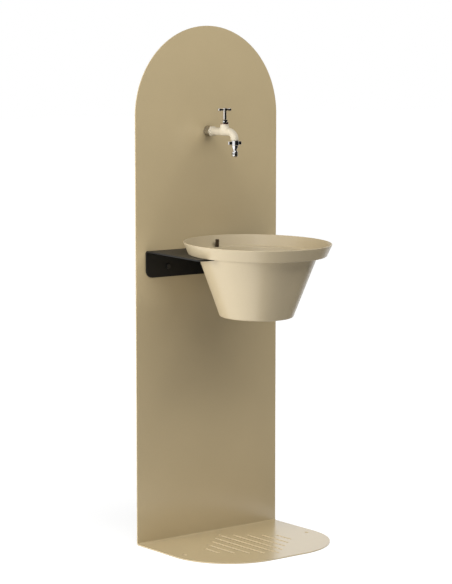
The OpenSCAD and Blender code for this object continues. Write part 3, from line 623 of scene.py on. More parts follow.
def section_field(points, section):
    """Distance to a body turned about z, from the closed loop of its section (radius, height)."""
    flat = np.stack([np.hypot(points[:, 0], points[:, 1]), points[:, 2]], 1)
    corners = np.array(section)
    best = np.full(len(flat), np.inf)
    inside = np.zeros(len(flat), bool)
    for start, end in zip(corners, np.roll(corners, -1, 0)):
        side = end - start
        off = flat - start
        along = np.clip(off @ side / max(side @ side, 1e-18), 0, 1)
        best = np.minimum(best, np.hypot(*(off - along[:, None] * side).T))
        crosses = (start[1] <= flat[:, 1]) != (end[1] <= flat[:, 1])
        rise = side[1] if side[1] else 1.0
        inside ^= crosses & (flat[:, 0] < start[0] + (flat[:, 1] - start[1]) * side[0] / rise)
    return np.where(inside, -best, best)


def field_slope(field, points, step):
    """Direction in which a field grows, at each point."""
    slope = [field(points + offset) - field(points - offset) for offset in np.eye(3) * step]
    return np.stack(slope, 1) / (2 * step)


def cast_mesh(field, low, high, pitch, place):
    """Skins a field: one point in each grid cell that the surface crosses, moved onto the surface."""
    low = np.array(low)
    counts = np.ceil((np.array(high) - low) / pitch).astype(int) + 1
    lines = [low[i] + pitch * np.arange(counts[i]) for i in range(3)]
    grid = np.stack(np.meshgrid(*lines, indexing="ij"), -1).reshape(-1, 3)
    inside = field(grid).reshape(counts) < 0
    nx, ny, nz = counts - 1
    filled = sum(inside[i:nx + i, j:ny + j, k:nz + k].astype(int)
                 for i, j, k in itertools.product((0, 1), repeat=3))
    crossed = (filled > 0) & (filled < 8)
    index = np.cumsum(crossed).reshape(crossed.shape) - 1
    points = low + pitch * (np.argwhere(crossed) + 0.5)
    step = pitch / 10
    for _ in range(SETTLE_STEPS):
        slope = field_slope(field, points, step)
        size = np.maximum((slope ** 2).sum(1), LEAST_SLOPE)
        points -= np.clip((field(points) / size)[:, None] * slope, -pitch / 2, pitch / 2)
    faces = []
    for axis in range(3):
        solid = np.moveaxis(inside, axis, 0)
        cells = np.moveaxis(index, axis, 0)
        below = solid[:-1, 1:-1, 1:-1]
        i, j, k = np.nonzero(below != solid[1:, 1:-1, 1:-1])
        quads = np.stack([cells[i, j, k], cells[i, j + 1, k],
                          cells[i, j + 1, k + 1], cells[i, j, k + 1]], 1)
        backward = below[i, j, k] == (axis == 1)
        quads[backward] = quads[backward, ::-1]
        faces += quads.tolist()
    mesh = bpy.data.meshes.new("casting")
    mesh.from_pydata(points.tolist(), [], faces, shade_flat=False)
    slope = field_slope(field, points, step)
    mesh.normals_split_custom_set_from_vertices(slope / np.linalg.norm(slope, axis=1)[:, None])
    mesh.transform(place)
    return mesh


# Placing pieces

def make_piece(name, meshes, material, body, slot, *nodes, smooth=True):
    """One piece from one or more meshes, on its body, in place of its nodes."""
    piece = bpy.data.objects.new(name, meshes[0])
    bpy.context.scene.collection.objects.link(piece)
    for extra in meshes[1:]:
        other = bpy.data.objects.new(name + "_part", extra)
        bpy.context.scene.collection.objects.link(other)
        with bpy.context.temp_override(active_object=piece, selected_editable_objects=[piece, other]):
            bpy.ops.object.join()
    mesh = piece.data
    mesh.name = name
    mesh.materials.clear()
    mesh.materials.append(material)
    if smooth:
        mesh.shade_smooth()
        mesh.set_sharp_from_angle(angle=SHARP_ANGLE)
        piece.modifiers.new("even shading", "WEIGHTED_NORMAL").keep_sharp = True
    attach(piece, body)
    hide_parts(*nodes)
    return piece


def cut_shape(piece, mesh):
    """Takes a shape out of a piece."""
    cutter = bpy.data.objects.new("cutter", mesh)
    bpy.context.scene.collection.objects.link(cutter)
    cut = piece.modifiers.new("cut", "BOOLEAN")
    cut.operation = "DIFFERENCE"
    cut.solver = "EXACT"
    cut.object = cutter
    with bpy.context.temp_override(object=piece, active_object=piece):
        bpy.ops.object.modifier_move_to_index(modifier=cut.name, index=0)
        bpy.ops.object.modifier_apply(modifier=cut.name)
    bpy.data.objects.remove(cutter)
    bpy.data.meshes.remove(mesh)


# Node groups that several finishes share

def plug(tree, socket, value):
    """Gives a socket a link or a plain value."""
    if isinstance(value, bpy.types.NodeSocket):
        tree.links.new(value, socket)
    elif socket.type == "RGBA":
        socket.default_value = (*value, 1.0)
    else:
        socket.default_value = value


def add_node(tree, kind, settings=None, **inputs):
    """Adds a node with its settings; inputs are named with _ for each space."""
    node = tree.nodes.new(kind)
    for name, value in (settings or {}).items():
        setattr(node, name, value)
    for name, value in inputs.items():
        plug(tree, node.inputs[name.replace("_", " ")], value)
    return node


def blend_colours(tree, factor, first, second):
    """A colour between two others."""
    node = add_node(tree, "ShaderNodeMix", {"data_type": "RGBA"})
    for index, value in ((0, factor), (6, first), (7, second)):
        plug(tree, node.inputs[index], value)
    return node.outputs[2]


def remap(tree, value, low, high, new_low, new_high):
    """A value moved from one range to another and held there."""
    node = add_node(tree, "ShaderNodeMapRange", Value=value, From_Min=low, From_Max=high,
                    To_Min=new_low, To_Max=new_high)
    return node.outputs["Result"]


def math_node(tree, operation, first, second):
    """The result of a sum with two values."""
    node = add_node(tree, "ShaderNodeMath", {"operation": operation})
    plug(tree, node.inputs[0], first)
    plug(tree, node.inputs[1], second)
    return node.outputs[0]


def scale_colour(tree, tint, factor):
    """A colour made lighter or darker."""
    node = add_node(tree, "ShaderNodeVectorMath", {"operation": "SCALE"}, Scale=factor)
    plug(tree, node.inputs[0], tint)
    return node.outputs[0]


def noise(tree, scale, detail):
    """Noise over a piece's own space."""
    place = add_node(tree, "ShaderNodeTexCoord").outputs["Object"]
    return add_node(tree, "ShaderNodeTexNoise", Vector=place, Scale=scale, Detail=detail).outputs["Fac"]


def node_group(name, inputs, outputs):
    """A new shader group; returns None where it exists already."""
    if name in bpy.data.node_groups:
        return None
    tree = bpy.data.node_groups.new(name, "ShaderNodeTree")
    for title, kind, default in inputs:
        socket = tree.interface.new_socket(title, in_out="INPUT", socket_type="NodeSocket" + kind)
        socket.default_value = default
    for title, kind in outputs:
        tree.interface.new_socket(title, in_out="OUTPUT", socket_type="NodeSocket" + kind)
    return tree, tree.nodes.new("NodeGroupInput"), tree.nodes.new("NodeGroupOutput")


def use_group(tree, name, **inputs):
    """Places a group in a material with its own values."""
    node = add_node(tree, "ShaderNodeGroup", {"node_tree": bpy.data.node_groups[name]}, **inputs)
    return node.outputs


def coat_grain_group():
    """Powder coat, paint and moulded plastic: fine grain, pale and dark specks and broad clouds of tone."""
    made = node_group(
        "Coat Grain",
        [("Colour", "Color", (0.5, 0.5, 0.5, 1)), ("Roughness", "Float", 0.4), ("Grain", "Float", 900.0),
         ("Clouds", "Float", 0.03), ("Specks", "Float", 0.03)],
        [("Colour", "Color"), ("Roughness", "Float"), ("Height", "Float")])
    if made is None:
        return
    tree, given, result = made
    grain = noise(tree, scale=given.outputs["Grain"], detail=3)
    clouds = noise(tree, scale=7.0, detail=2)
    shade = math_node(tree, "MULTIPLY", remap(tree, clouds, 0.3, 0.7, -1, 1), given.outputs["Clouds"])
    speck = math_node(tree, "MULTIPLY", remap(tree, grain, 0.35, 0.65, -1, 1), given.outputs["Specks"])
    tone = math_node(tree, "ADD", math_node(tree, "ADD", shade, speck), 1.0)
    plug(tree, result.inputs["Colour"], scale_colour(tree, given.outputs["Colour"], tone))
    spread = remap(tree, grain, 0.3, 0.7, -0.05, 0.05)
    plug(tree, result.inputs["Roughness"], math_node(tree, "ADD", given.outputs["Roughness"], spread))
    plug(tree, result.inputs["Height"], grain)


def settled_dust_group():
    """A thin film of pale dust on what faces up."""
    made = node_group(
        "Settled Dust",
        [("Colour", "Color", (0.5, 0.5, 0.5, 1)), ("Roughness", "Float", 0.4), ("Amount", "Float", 0.05)],
        [("Colour", "Color"), ("Roughness", "Float")])
    if made is None:
        return
    tree, given, result = made
    normal = add_node(tree, "ShaderNodeNewGeometry").outputs["Normal"]
    up = add_node(tree, "ShaderNodeSeparateXYZ", Vector=normal).outputs["Z"]
    patches = remap(tree, noise(tree, scale=40.0, detail=5), 0.35, 0.7, 0.3, 1)
    film = math_node(tree, "MULTIPLY", remap(tree, up, 0.5, 1, 0, 1), patches)
    film = math_node(tree, "MULTIPLY", film, given.outputs["Amount"])
    plug(tree, result.inputs["Colour"], blend_colours(tree, film, given.outputs["Colour"], DUST_TONE))
    plug(tree, result.inputs["Roughness"], math_node(tree, "ADD", given.outputs["Roughness"], film))


def metal_polish_group():
    """Bright metal: faint smears of handling and water marks."""
    made = node_group(
        "Metal Polish",
        [("Colour", "Color", (0.8, 0.8, 0.8, 1)), ("Roughness", "Float", 0.1), ("Smear", "Float", 0.05),
         ("Tarnish", "Float", 0.05)],
        [("Colour", "Color"), ("Roughness", "Float"), ("Height", "Float")])
    if made is None:
        return
    tree, given, result = made
    smears = remap(tree, noise(tree, scale=90.0, detail=4), 0.4, 0.75, 0, 1)
    spots = remap(tree, noise(tree, scale=420.0, detail=2), 0.62, 0.72, 0, 1)
    rough = math_node(tree, "MULTIPLY", math_node(tree, "ADD", smears, spots), given.outputs["Smear"])
    plug(tree, result.inputs["Roughness"], math_node(tree, "ADD", given.outputs["Roughness"], rough))
    dull = math_node(tree, "MULTIPLY", smears, given.outputs["Tarnish"])
    tone = math_node(tree, "SUBTRACT", 1.0, dull)
    plug(tree, result.inputs["Colour"], scale_colour(tree, given.outputs["Colour"], tone))
    plug(tree, result.inputs["Height"], noise(tree, scale=260.0, detail=2))


# Finishes

def finish(name):
    """A new material with its shader; returns None for the tree where it exists already.

    The names differ from those of the frame's own materials, which are the record's slots.
    """
    material = bpy.data.materials.get(name)
    if material:
        return material, None, None
    material = bpy.data.materials.new(name)
    material.use_nodes = True
    return material, material.node_tree, material.node_tree.nodes["Principled BSDF"]


def bump(tree, shader, height, strength, depth):
    """Gives the shader a surface from a height."""
    node = add_node(tree, "ShaderNodeBump", Height=height, Strength=strength, Distance=depth)
    plug(tree, shader.inputs["Normal"], node.outputs["Normal"])


def coated(name, tint, roughness, grain, clouds, specks, dust, bump_depth, specular=0.5, clear=0.0):
    """Powder coat, paint or plastic with fine grain, a little dust and a share of a clear layer."""
    material, tree, shader = finish(name)
    if tree is None:
        return material
    coat_grain_group()
    settled_dust_group()
    coat = use_group(tree, "Coat Grain", Colour=tint, Roughness=roughness, Grain=grain, Clouds=clouds,
                     Specks=specks)
    top = use_group(tree, "Settled Dust", Colour=coat["Colour"], Roughness=coat["Roughness"], Amount=dust)
    plug(tree, shader.inputs["Base Color"], top["Colour"])
    plug(tree, shader.inputs["Roughness"], top["Roughness"])
    plug(tree, shader.inputs["Specular IOR Level"], specular)
    plug(tree, shader.inputs["Coat Weight"], clear)
    plug(tree, shader.inputs["Coat Roughness"], CLEAR_ROUGHNESS)
    bump(tree, shader, coat["Height"], strength=0.5, depth=bump_depth)
    return material


def bright_metal(name, tint, roughness, smear, tarnish):
    """Plated or machined metal."""
    material, tree, shader = finish(name)
    if tree is None:
        return material
    metal_polish_group()
    polish = use_group(tree, "Metal Polish", Colour=tint, Roughness=roughness, Smear=smear, Tarnish=tarnish)
    plug(tree, shader.inputs["Base Color"], polish["Colour"])
    plug(tree, shader.inputs["Roughness"], polish["Roughness"])
    plug(tree, shader.inputs["Metallic"], 1.0)
    bump(tree, shader, polish["Height"], strength=0.15, depth=0.01 * MM)
    return material


def sand_coat(tint):
    """Fine sand powder coat of the stand, with a satin clear layer."""
    return coated("sand powder coat", tint, roughness=0.33, grain=1100.0, clouds=0.02, specks=0.03,
                  dust=0.02, bump_depth=0.03 * MM, clear=0.75)


def basin_plastic(tint):
    """Sand-coloured moulded plastic."""
    return coated("moulded sand plastic", tint, roughness=0.32, grain=700.0, clouds=0.015, specks=0.015,
                  dust=0.02, bump_depth=0.02 * MM, specular=0.95)


def black_coat(tint):
    """Black powder coat of the bracket."""
    return coated("black powder coat", tint, roughness=0.48, grain=1000.0, clouds=0.05, specks=0.12,
                  dust=0.02, bump_depth=0.05 * MM, specular=0.32)


def black_fastener(tint):
    """Blackened steel of bolts, washers and nuts."""
    return coated("blackened steel", tint, roughness=0.34, grain=1600.0, clouds=0.1, specks=0.2,
                  dust=0.02, bump_depth=0.01 * MM)


def steel_with_painted_basin_reflection():
    """Steel of the stud that locates the basin, tinted brown: a painted reflection of the sand basin."""
    return coated("brown steel with painted reflection", (0.034, 0.020, 0.009), roughness=0.42, grain=1600.0, clouds=0.1,
                  specks=0.2, dust=0.0, bump_depth=0.01 * MM)


def cream_enamel(tint):
    """Satin cream enamel on the tap's casting."""
    return coated("cream enamel", tint, roughness=0.36, grain=260.0, clouds=0.015, specks=0.01,
                  dust=0.01, bump_depth=0.02 * MM)


def rubber():
    """Black rubber of washers, packing, ring and plug."""
    return coated("black rubber", (0.022, 0.022, 0.022), roughness=0.62, grain=800.0, clouds=0.1,
                  specks=0.15, dust=0.03, bump_depth=0.04 * MM)


def fibre():
    """Red vulcanised fibre of the washer under the bonnet."""
    return coated("red fibre", (0.10, 0.024, 0.016), roughness=0.6, grain=1500.0, clouds=0.1,
                  specks=0.25, dust=0.0, bump_depth=0.03 * MM)


def chrome():
    """Bright plating on the tap's head and connector."""
    return bright_metal("bright chrome", (0.80, 0.80, 0.795), roughness=0.06, smear=0.06, tarnish=0.04)


def chrome_with_painted_shade():
    """The same plating on the handle, its tint darkened as painted shade that dims its reflections, with
    more smears and tarnish from handling.
    """
    return bright_metal("chrome with painted shade", (0.70, 0.67, 0.62), roughness=0.11, smear=0.10, tarnish=0.08)


def satin_plating_with_painted_shade():
    """Duller satin plating on the rosette, its tint darkened further as painted shade: the contact shadow
    round it on the panel.
    """
    return bright_metal("satin plating with painted shade", (0.46, 0.44, 0.40), roughness=0.24, smear=0.08, tarnish=0.05)


def brass():
    """Machined brass of spindle, valve and nuts."""
    return bright_metal("machined brass", (0.72, 0.50, 0.18), roughness=0.2, smear=0.2, tarnish=0.25)


# Pieces

class STANDPIPE_OT_stage(Operator):
    """Makes the camera, the floor and the studio light"""
    bl_idname = "standpipe.stage"
    bl_label = "Make Stage"

    def execute(self, context):
        stage = context.scene.standpipe.stage
        context.scene.view_settings.view_transform = "Standard"
        camera_data = bpy.data.cameras.new("camera")
        camera_data.lens = stage.lens
        camera = bpy.data.objects.new("camera", camera_data)
        camera.location = stage.camera_place
        camera.rotation_euler = (math.pi / 2 - stage.camera_dip, 0, -stage.camera_turn)
        context.scene.collection.objects.link(camera)
        context.scene.camera = camera
        self.make_world(context.scene, stage.fill)
        self.make_floor(context.scene, stage.floor_drop)
        self.make_softbox(context.scene, "key_light", stage.key_power, **KEY_LIGHT)
        self.make_softbox(context.scene, "front_light", stage.front_power, **FRONT_LIGHT)
        self.make_dark_card(context.scene)
        return {"FINISHED"}

    def seen_rays(self, tree):
        """1 for rays that show the background: from the camera, a reflection or a clear piece."""
        light_path = add_node(tree, "ShaderNodeLightPath").outputs
        seen = math_node(tree, "MAXIMUM", light_path["Is Camera Ray"], light_path["Is Glossy Ray"])
        return math_node(tree, "MAXIMUM", seen, light_path["Is Transmission Ray"])

    def make_world(self, scene, fill):
        """White where it is seen, an even light elsewhere."""
        world = bpy.data.worlds.new("studio")
        world.use_nodes = True
        tree = world.node_tree
        strength = remap(tree, self.seen_rays(tree), 0, 1, fill, 1.0)
        background = tree.nodes["Background"]
        background.inputs["Color"].default_value = (1, 1, 1, 1)
        plug(tree, background.inputs["Strength"], strength)
        scene.world = world

    def make_floor(self, scene, drop):
        """A pale floor that keeps the object's shadow and fades into the white background."""
        corners = [(x * FLOOR_HALF, y * FLOOR_HALF, -drop) for x, y in ((-1, -1), (1, -1), (1, 1), (-1, 1))]
        mesh = bpy.data.meshes.new("floor")
        mesh.from_pydata(corners, [], [(0, 1, 2, 3)])
        floor = bpy.data.objects.new("floor", mesh)
        scene.collection.objects.link(floor)
        material = bpy.data.materials.new("studio_floor")
        material.use_nodes = True
        tree = material.node_tree
        tree.nodes.remove(tree.nodes["Principled BSDF"])
        matt = add_node(tree, "ShaderNodeBsdfDiffuse", Color=FLOOR_TONE)
        shown_matt = add_node(tree, "ShaderNodeBsdfDiffuse", Color=SHOWN_FLOOR_TONE)
        place = add_node(tree, "ShaderNodeNewGeometry").outputs["Position"]
        away = add_node(tree, "ShaderNodeVectorMath", {"operation": "LENGTH"}, Vector=place)
        strength = remap(tree, away.outputs["Value"], GLOW_NEAR, GLOW_FAR, NEAR_GLOW, FAR_GLOW)
        glow = add_node(tree, "ShaderNodeEmission", Color=(1, 1, 1), Strength=strength)
        shown = add_node(tree, "ShaderNodeAddShader")
        plug(tree, shown.inputs[0], shown_matt.outputs[0])
        plug(tree, shown.inputs[1], glow.outputs[0])
        choice = add_node(tree, "ShaderNodeMixShader", Fac=self.seen_rays(tree))
        plug(tree, choice.inputs[1], matt.outputs[0])
        plug(tree, choice.inputs[2], shown.outputs[0])
        plug(tree, tree.nodes["Material Output"].inputs["Surface"], choice.outputs[0])
        mesh.materials.append(material)

    def direction(self, azimuth, elevation):
        """Unit vector towards a place round the object; azimuth 0 is the front and grows to the right."""
        turn, rise = math.radians(azimuth), math.radians(elevation)
        return Vector((math.sin(turn) * math.cos(rise), -math.cos(turn) * math.cos(rise), math.sin(rise)))

    def make_softbox(self, scene, name, power, azimuth, elevation, distance, width, height):
        """A large soft light that looks at the middle of the object."""
        light = bpy.data.lights.new(name, "AREA")
        light.shape = "RECTANGLE"
        light.size = width
        light.size_y = height
        light.energy = power
        box = bpy.data.objects.new(name, light)
        towards = self.direction(azimuth, elevation)
        box.location = LIGHT_AIM + towards * distance
        box.rotation_euler = towards.to_track_quat("Z", "Y").to_euler()
        box.visible_glossy = False      # its sheen would turn the pale sheet white from the side
        scene.collection.objects.link(box)

    def make_dark_card(self, scene):
        """A dark card on the floor and upright at the right, which shows only in reflections."""
        points = [self.direction(turn, 0) * radius + Vector((0, 0, height))
                  for radius, height in CARD_PROFILE for turn in CARD_TURNS]
        count = len(CARD_TURNS)
        starts = [line * count + i for line in range(len(CARD_PROFILE) - 1) for i in range(count - 1)]
        faces = [(i, i + 1, count + i + 1, count + i) for i in starts]
        mesh = bpy.data.meshes.new("dark_card")
        mesh.from_pydata(points, [], faces)
        card = bpy.data.objects.new("dark_card", mesh)
        scene.collection.objects.link(card)
        material, tree, shader = finish("dark_card")
        if tree is not None:
            plug(tree, shader.inputs["Base Color"], CARD_TONE)
            plug(tree, shader.inputs["Roughness"], 1.0)
        mesh.materials.append(material)
        card.visible_camera = False
        card.visible_diffuse = False
        card.visible_transmission = False
        card.visible_shadow = False


class STANDPIPE_OT_stand(Operator):
    """Makes the sheet that is folded into panel and base"""
    bl_idname = "standpipe.stand"
    bl_label = "Make Stand"

    def execute(self, context):
        stand = context.scene.standpipe.stand
        bracket = context.scene.standpipe.bracket
        tap = context.scene.standpipe.tap
        half = SHEET_HIGH.x
        front = SHEET_LOW.y
        fold_start = PANEL_FACE - stand.fold_radius
        fold_centre = SHEET_THICK + stand.fold_radius
        fold_run = math.pi / 2 * (stand.fold_radius + SHEET_THICK / 2)

        def flat(height):
            """Where a height on the panel lies on the flat sheet."""
            return fold_start + fold_run + height - fold_centre

        def bend(point):
            """Folds the panel up from the base."""
            radius = fold_centre - point.z
            past = point.y - fold_start
            if past <= 0:
                return point
            if past >= fold_run:
                return Vector((point.x, fold_start + radius, fold_centre + past - fold_run))
            angle = past / fold_run * math.pi / 2
            return Vector((point.x, fold_start + radius * math.sin(angle),
                           fold_centre - radius * math.cos(angle)))

        corner = stand.corner_radius
        outline = (arc((corner - half, front + corner), corner, 180, 270, CORNER_STEPS)
                   + arc((half - corner, front + corner), corner, 270, 360, CORNER_STEPS)
                   + arc((0, flat(SHEET_HIGH.z - half)), half, 0, 180, ARCH_STEPS))
        middle = (stand.slot_count - 1) / 2
        slots = [slot_loop(((i - middle) * stand.slot_pitch, PANEL_FACE - stand.slot_setback),
                           stand.slot_length - abs(i - middle) * stand.slot_step, stand.slot_width)
                 for i in range(stand.slot_count)]
        anchors = hole_pair(stand.anchor_spacing, 0, stand.anchor_diameter / 2)
        bolt_hole = bracket.bolt_diameter / 2 + bracket.hole_gap
        bolts = hole_pair(bracket.bolt_spacing, flat(bracket.shelf_height - bracket.bolt_drop), bolt_hole)
        tail = circle_loop((0, flat(TAP.z)), tap.tail / 2 + bracket.hole_gap)
        plate = plate_mesh([outline, *slots, *anchors, *bolts, tail], SHEET_THICK, stand.edge)
        sheet = fold_mesh(plate, fold_start, fold_run, bend)
        make_piece("folded_sheet", [sheet], sand_coat(stand.coat), "stand", "sand_coat", "stand_sheet")
        return {"FINISHED"}


def shelf_place(bracket):
    """The sloping shelf: its top is the plane z = 0, and y = 0 is at the panel."""
    return Matrix.Translation((0, PANEL_FACE, bracket.shelf_height)) @ Matrix.Rotation(SHELF_FALL, 4, "X")


class STANDPIPE_OT_bracket(Operator):
    """Makes the bent, forked bracket"""
    bl_idname = "standpipe.bracket"
    bl_label = "Make Bracket"

    def execute(self, context):
        bracket = context.scene.standpipe.bracket
        basin = context.scene.standpipe.basin
        place = shelf_place(bracket)
        half = bracket.width / 2
        bend_out = bracket.bend_radius + bracket.thickness
        bend_start = -bend_out * (1 + math.sin(SHELF_FALL)) / math.cos(SHELF_FALL)
        turn = math.pi / 2 + SHELF_FALL
        bend_run = turn * (bend_out - bracket.thickness / 2)
        bend_height = (place @ Vector((0, bend_start, -bend_out))).z

        def flat(drop):
            """Where a depth below the shelf's top at the panel lies on the flat plate."""
            return bend_start + bend_run + bend_height - (bracket.shelf_height - drop)

        def bend(point):
            """Bends the flange down from the shelf; the plate's top is z = 0 afterwards."""
            depth = point.z - bracket.thickness
            past = point.y - bend_start
            if past <= 0:
                return place @ Vector((point.x, point.y, depth))
            angle = min(past / bend_run, 1.0) * turn
            radius = bend_out + depth
            rest = max(past - bend_run, 0)
            return place @ Vector((
                point.x,
                bend_start + radius * math.sin(angle) + rest * math.cos(turn),
                -bend_out + radius * math.cos(angle) - rest * math.sin(turn)))

        fork, reach = bracket.fork_radius, bracket.reach
        arms = rounded([(-fork, -reach, 0), (-half, -reach, bracket.arm_corner),
                        (-half, flat(bracket.flange_height), bracket.flange_corner),
                        (half, flat(bracket.flange_height), bracket.flange_corner),
                        (half, -reach, bracket.arm_corner), (fork, -reach, 0)])
        outline = arms + arc((0, -basin.setback), fork, 0, 180, FORK_STEPS)
        hole = bracket.bolt_diameter / 2 + bracket.hole_gap
        holes = hole_pair(bracket.bolt_spacing, flat(bracket.bolt_drop), hole)
        holes.append(circle_loop((0, -bracket.stud_setback), hole))
        plate = plate_mesh([outline, *holes], bracket.thickness, bracket.edge)
        fork_mesh = fold_mesh(plate, bend_start, bend_run, bend)
        make_piece("fork_bracket", [fork_mesh], black_coat(bracket.coat), "stand", "black_coat",
                   "basin_bracket")
        return {"FINISHED"}


class STANDPIPE_OT_fasteners(Operator):
    """Makes the bracket's bolts, washers and nuts, and the stud that locates the basin"""
    bl_idname = "standpipe.fasteners"
    bl_label = "Make Fasteners"

    def execute(self, context):
        bracket = context.scene.standpipe.bracket
        material = black_fastener(bracket.coat)
        height = bracket.shelf_height - bracket.bolt_drop
        bolt_places = [Matrix.Translation((side * bracket.bolt_spacing / 2, PANEL_FACE, height)) @ FORWARD
                       for side in (-1, 1)]
        stud_places = [shelf_place(bracket) @ Matrix.Translation((0, -bracket.stud_setback, 0))]

        def thread(low, high):
            """Thread of a bolt or of the stud."""
            return thread_rows(bracket.bolt_diameter, bracket.bolt_pitch, low, high)

        def fixing(names, nodes, back, places):
            """Washer, and nut with its thread's end, behind a plate whose rear face is at back."""
            hole = bracket.bolt_diameter / 2 + FIT_GAP
            washer_low = back - bracket.washer_thickness
            outer, edge = bracket.washer_diameter / 2, bracket.washer_edge
            section = rounded([(hole, washer_low, 0), (outer, washer_low, edge), (outer, back, edge),
                               (hole, back, 0)])
            washer = turned_mesh(section, places)
            make_piece(names[0], [washer], material, "stand", "black_fastener", nodes[0])
            nut_low = washer_low - bracket.nut_height
            rows = nut_rows(bracket.bolt_flats, nut_low, washer_low, hole, bracket.nut_chamfer)
            make_piece(names[1], [rows_mesh(rows, places)], material, "stand", "black_fastener", nodes[1])
            return nut_low - bracket.thread_end

        tip = fixing(("bolt_washers", "bolt_nuts"), ("bracket_washers", "bracket_nuts"), -SHEET_THICK,
                     bolt_places)
        top = bracket.thickness + bracket.head_height
        flange_face = bracket.thickness
        shank = bracket.bolt_diameter / 2
        edge = hexagon_radius(bracket.bolt_flats)
        dimple = top - bracket.dimple_depth
        rows = ([row(0, dimple), row(bracket.dimple_floor / 2, dimple), row(bracket.dimple / 2, top)]
                + hex_rows(bracket.bolt_flats, top, 1) + [row(edge, flange_face), row(shank, flange_face)]
                + [row(shank, -SHEET_THICK)] + thread(-SHEET_THICK, tip) + [row(0, tip)])
        make_piece("bolts", [rows_mesh(rows, bolt_places)], material, "stand", "black_fastener",
                   "bracket_bolts")

        low = fixing(("stud_ring", "stud_lock_nut"), ("stud_washer", "stud_nut"), -bracket.thickness,
                     stud_places)
        stud = bracket.stud_diameter / 2
        head = rounded([(0, bracket.stud_height, 0), (stud, bracket.stud_height, bracket.stud_bevel),
                        (stud, 0, bracket.stud_foot)])
        rows = ([row(radius, height) for radius, height in head]
                + [row(shank, 0), row(shank, -bracket.thickness)]
                + thread(-bracket.thickness, low) + [row(0, low)])
        # The stud's brown tint is a painted reflection of the sand basin.
        make_piece("stud", [rows_mesh(rows, stud_places)], steel_with_painted_basin_reflection(), "stand", "black_fastener",
                   "locating_stud")
        return {"FINISHED"}


class STANDPIPE_OT_basin(Operator):
    """Makes the basin and its drain plug"""
    bl_idname = "standpipe.basin"
    bl_label = "Make Basin"

    def execute(self, context):
        basin = context.scene.standpipe.basin
        bracket = context.scene.standpipe.bracket
        shelf = shelf_place(bracket)
        place = shelf @ Matrix.Translation((0, -basin.setback, basin.seat_gap))
        wall, depth, drain = basin.wall, basin.depth, basin.drain / 2
        top, low = basin.cone_top / 2, basin.cone_low / 2
        collar, rim = basin.collar_diameter / 2, basin.rim_diameter / 2
        cone_lean = math.atan2(top - low, depth)
        collar_lean = math.atan2(rim - collar, basin.collar_height)

        def inner(radius, lean):
            """Inner radius of a leaning wall, one wall thickness above its outer foot."""
            return radius - wall / math.cos(lean) + wall * math.tan(lean)

        section = rounded([
            (drain, -depth, basin.drain_edge), (low, -depth, basin.floor_edge), (top, 0, basin.cone_edge),
            (collar, 0, basin.ledge_edge), (rim, basin.collar_height, basin.lip),
            (rim - wall / math.cos(collar_lean), basin.collar_height, basin.lip),
            (inner(collar, collar_lean), wall, basin.inner_collar_edge),
            (inner(top, cone_lean), wall, basin.inner_cone_edge),
            (inner(low, cone_lean), wall - depth, basin.floor_edge - wall),
            (drain, wall - depth, basin.drain_edge)])
        bowl = make_piece("basin_bowl", [turned_mesh(section, [place])], basin_plastic(basin.plastic),
                          "basin", "basin_plastic", "basin")
        stud_place = shelf @ Matrix.Translation((0, -bracket.stud_setback, 0))
        hole, reach = bracket.stud_diameter / 2 + basin.stud_gap, wall + REACH_PAST
        cut_shape(bowl, turned_mesh([(0, -reach), (hole, -reach), (hole, reach), (0, reach)], [stud_place]))

        floor = wall - depth
        face = floor + basin.plug_thickness
        flange, grip, waist = basin.plug_flange / 2, basin.grip_diameter / 2, basin.grip_waist / 2
        neck = drain - basin.stud_gap
        section = rounded([
            (0, -depth, 0), (neck, -depth, basin.plug_neck_edge), (neck, floor, 0),
            (flange, floor, basin.plug_edge), (flange, face - basin.plug_bevel_height, basin.plug_edge),
            (flange - basin.plug_bevel, face, basin.plug_top_edge), (grip, face, basin.grip_foot),
            (waist, face + basin.grip_height / 2, basin.grip_curve),
            (grip, face + basin.grip_height, basin.grip_edge), (0, face + basin.grip_height, 0)])
        make_piece("plug", [turned_mesh(section, [place])], rubber(), "plug", "black_rubber", "drain_plug")
        return {"FINISHED"}


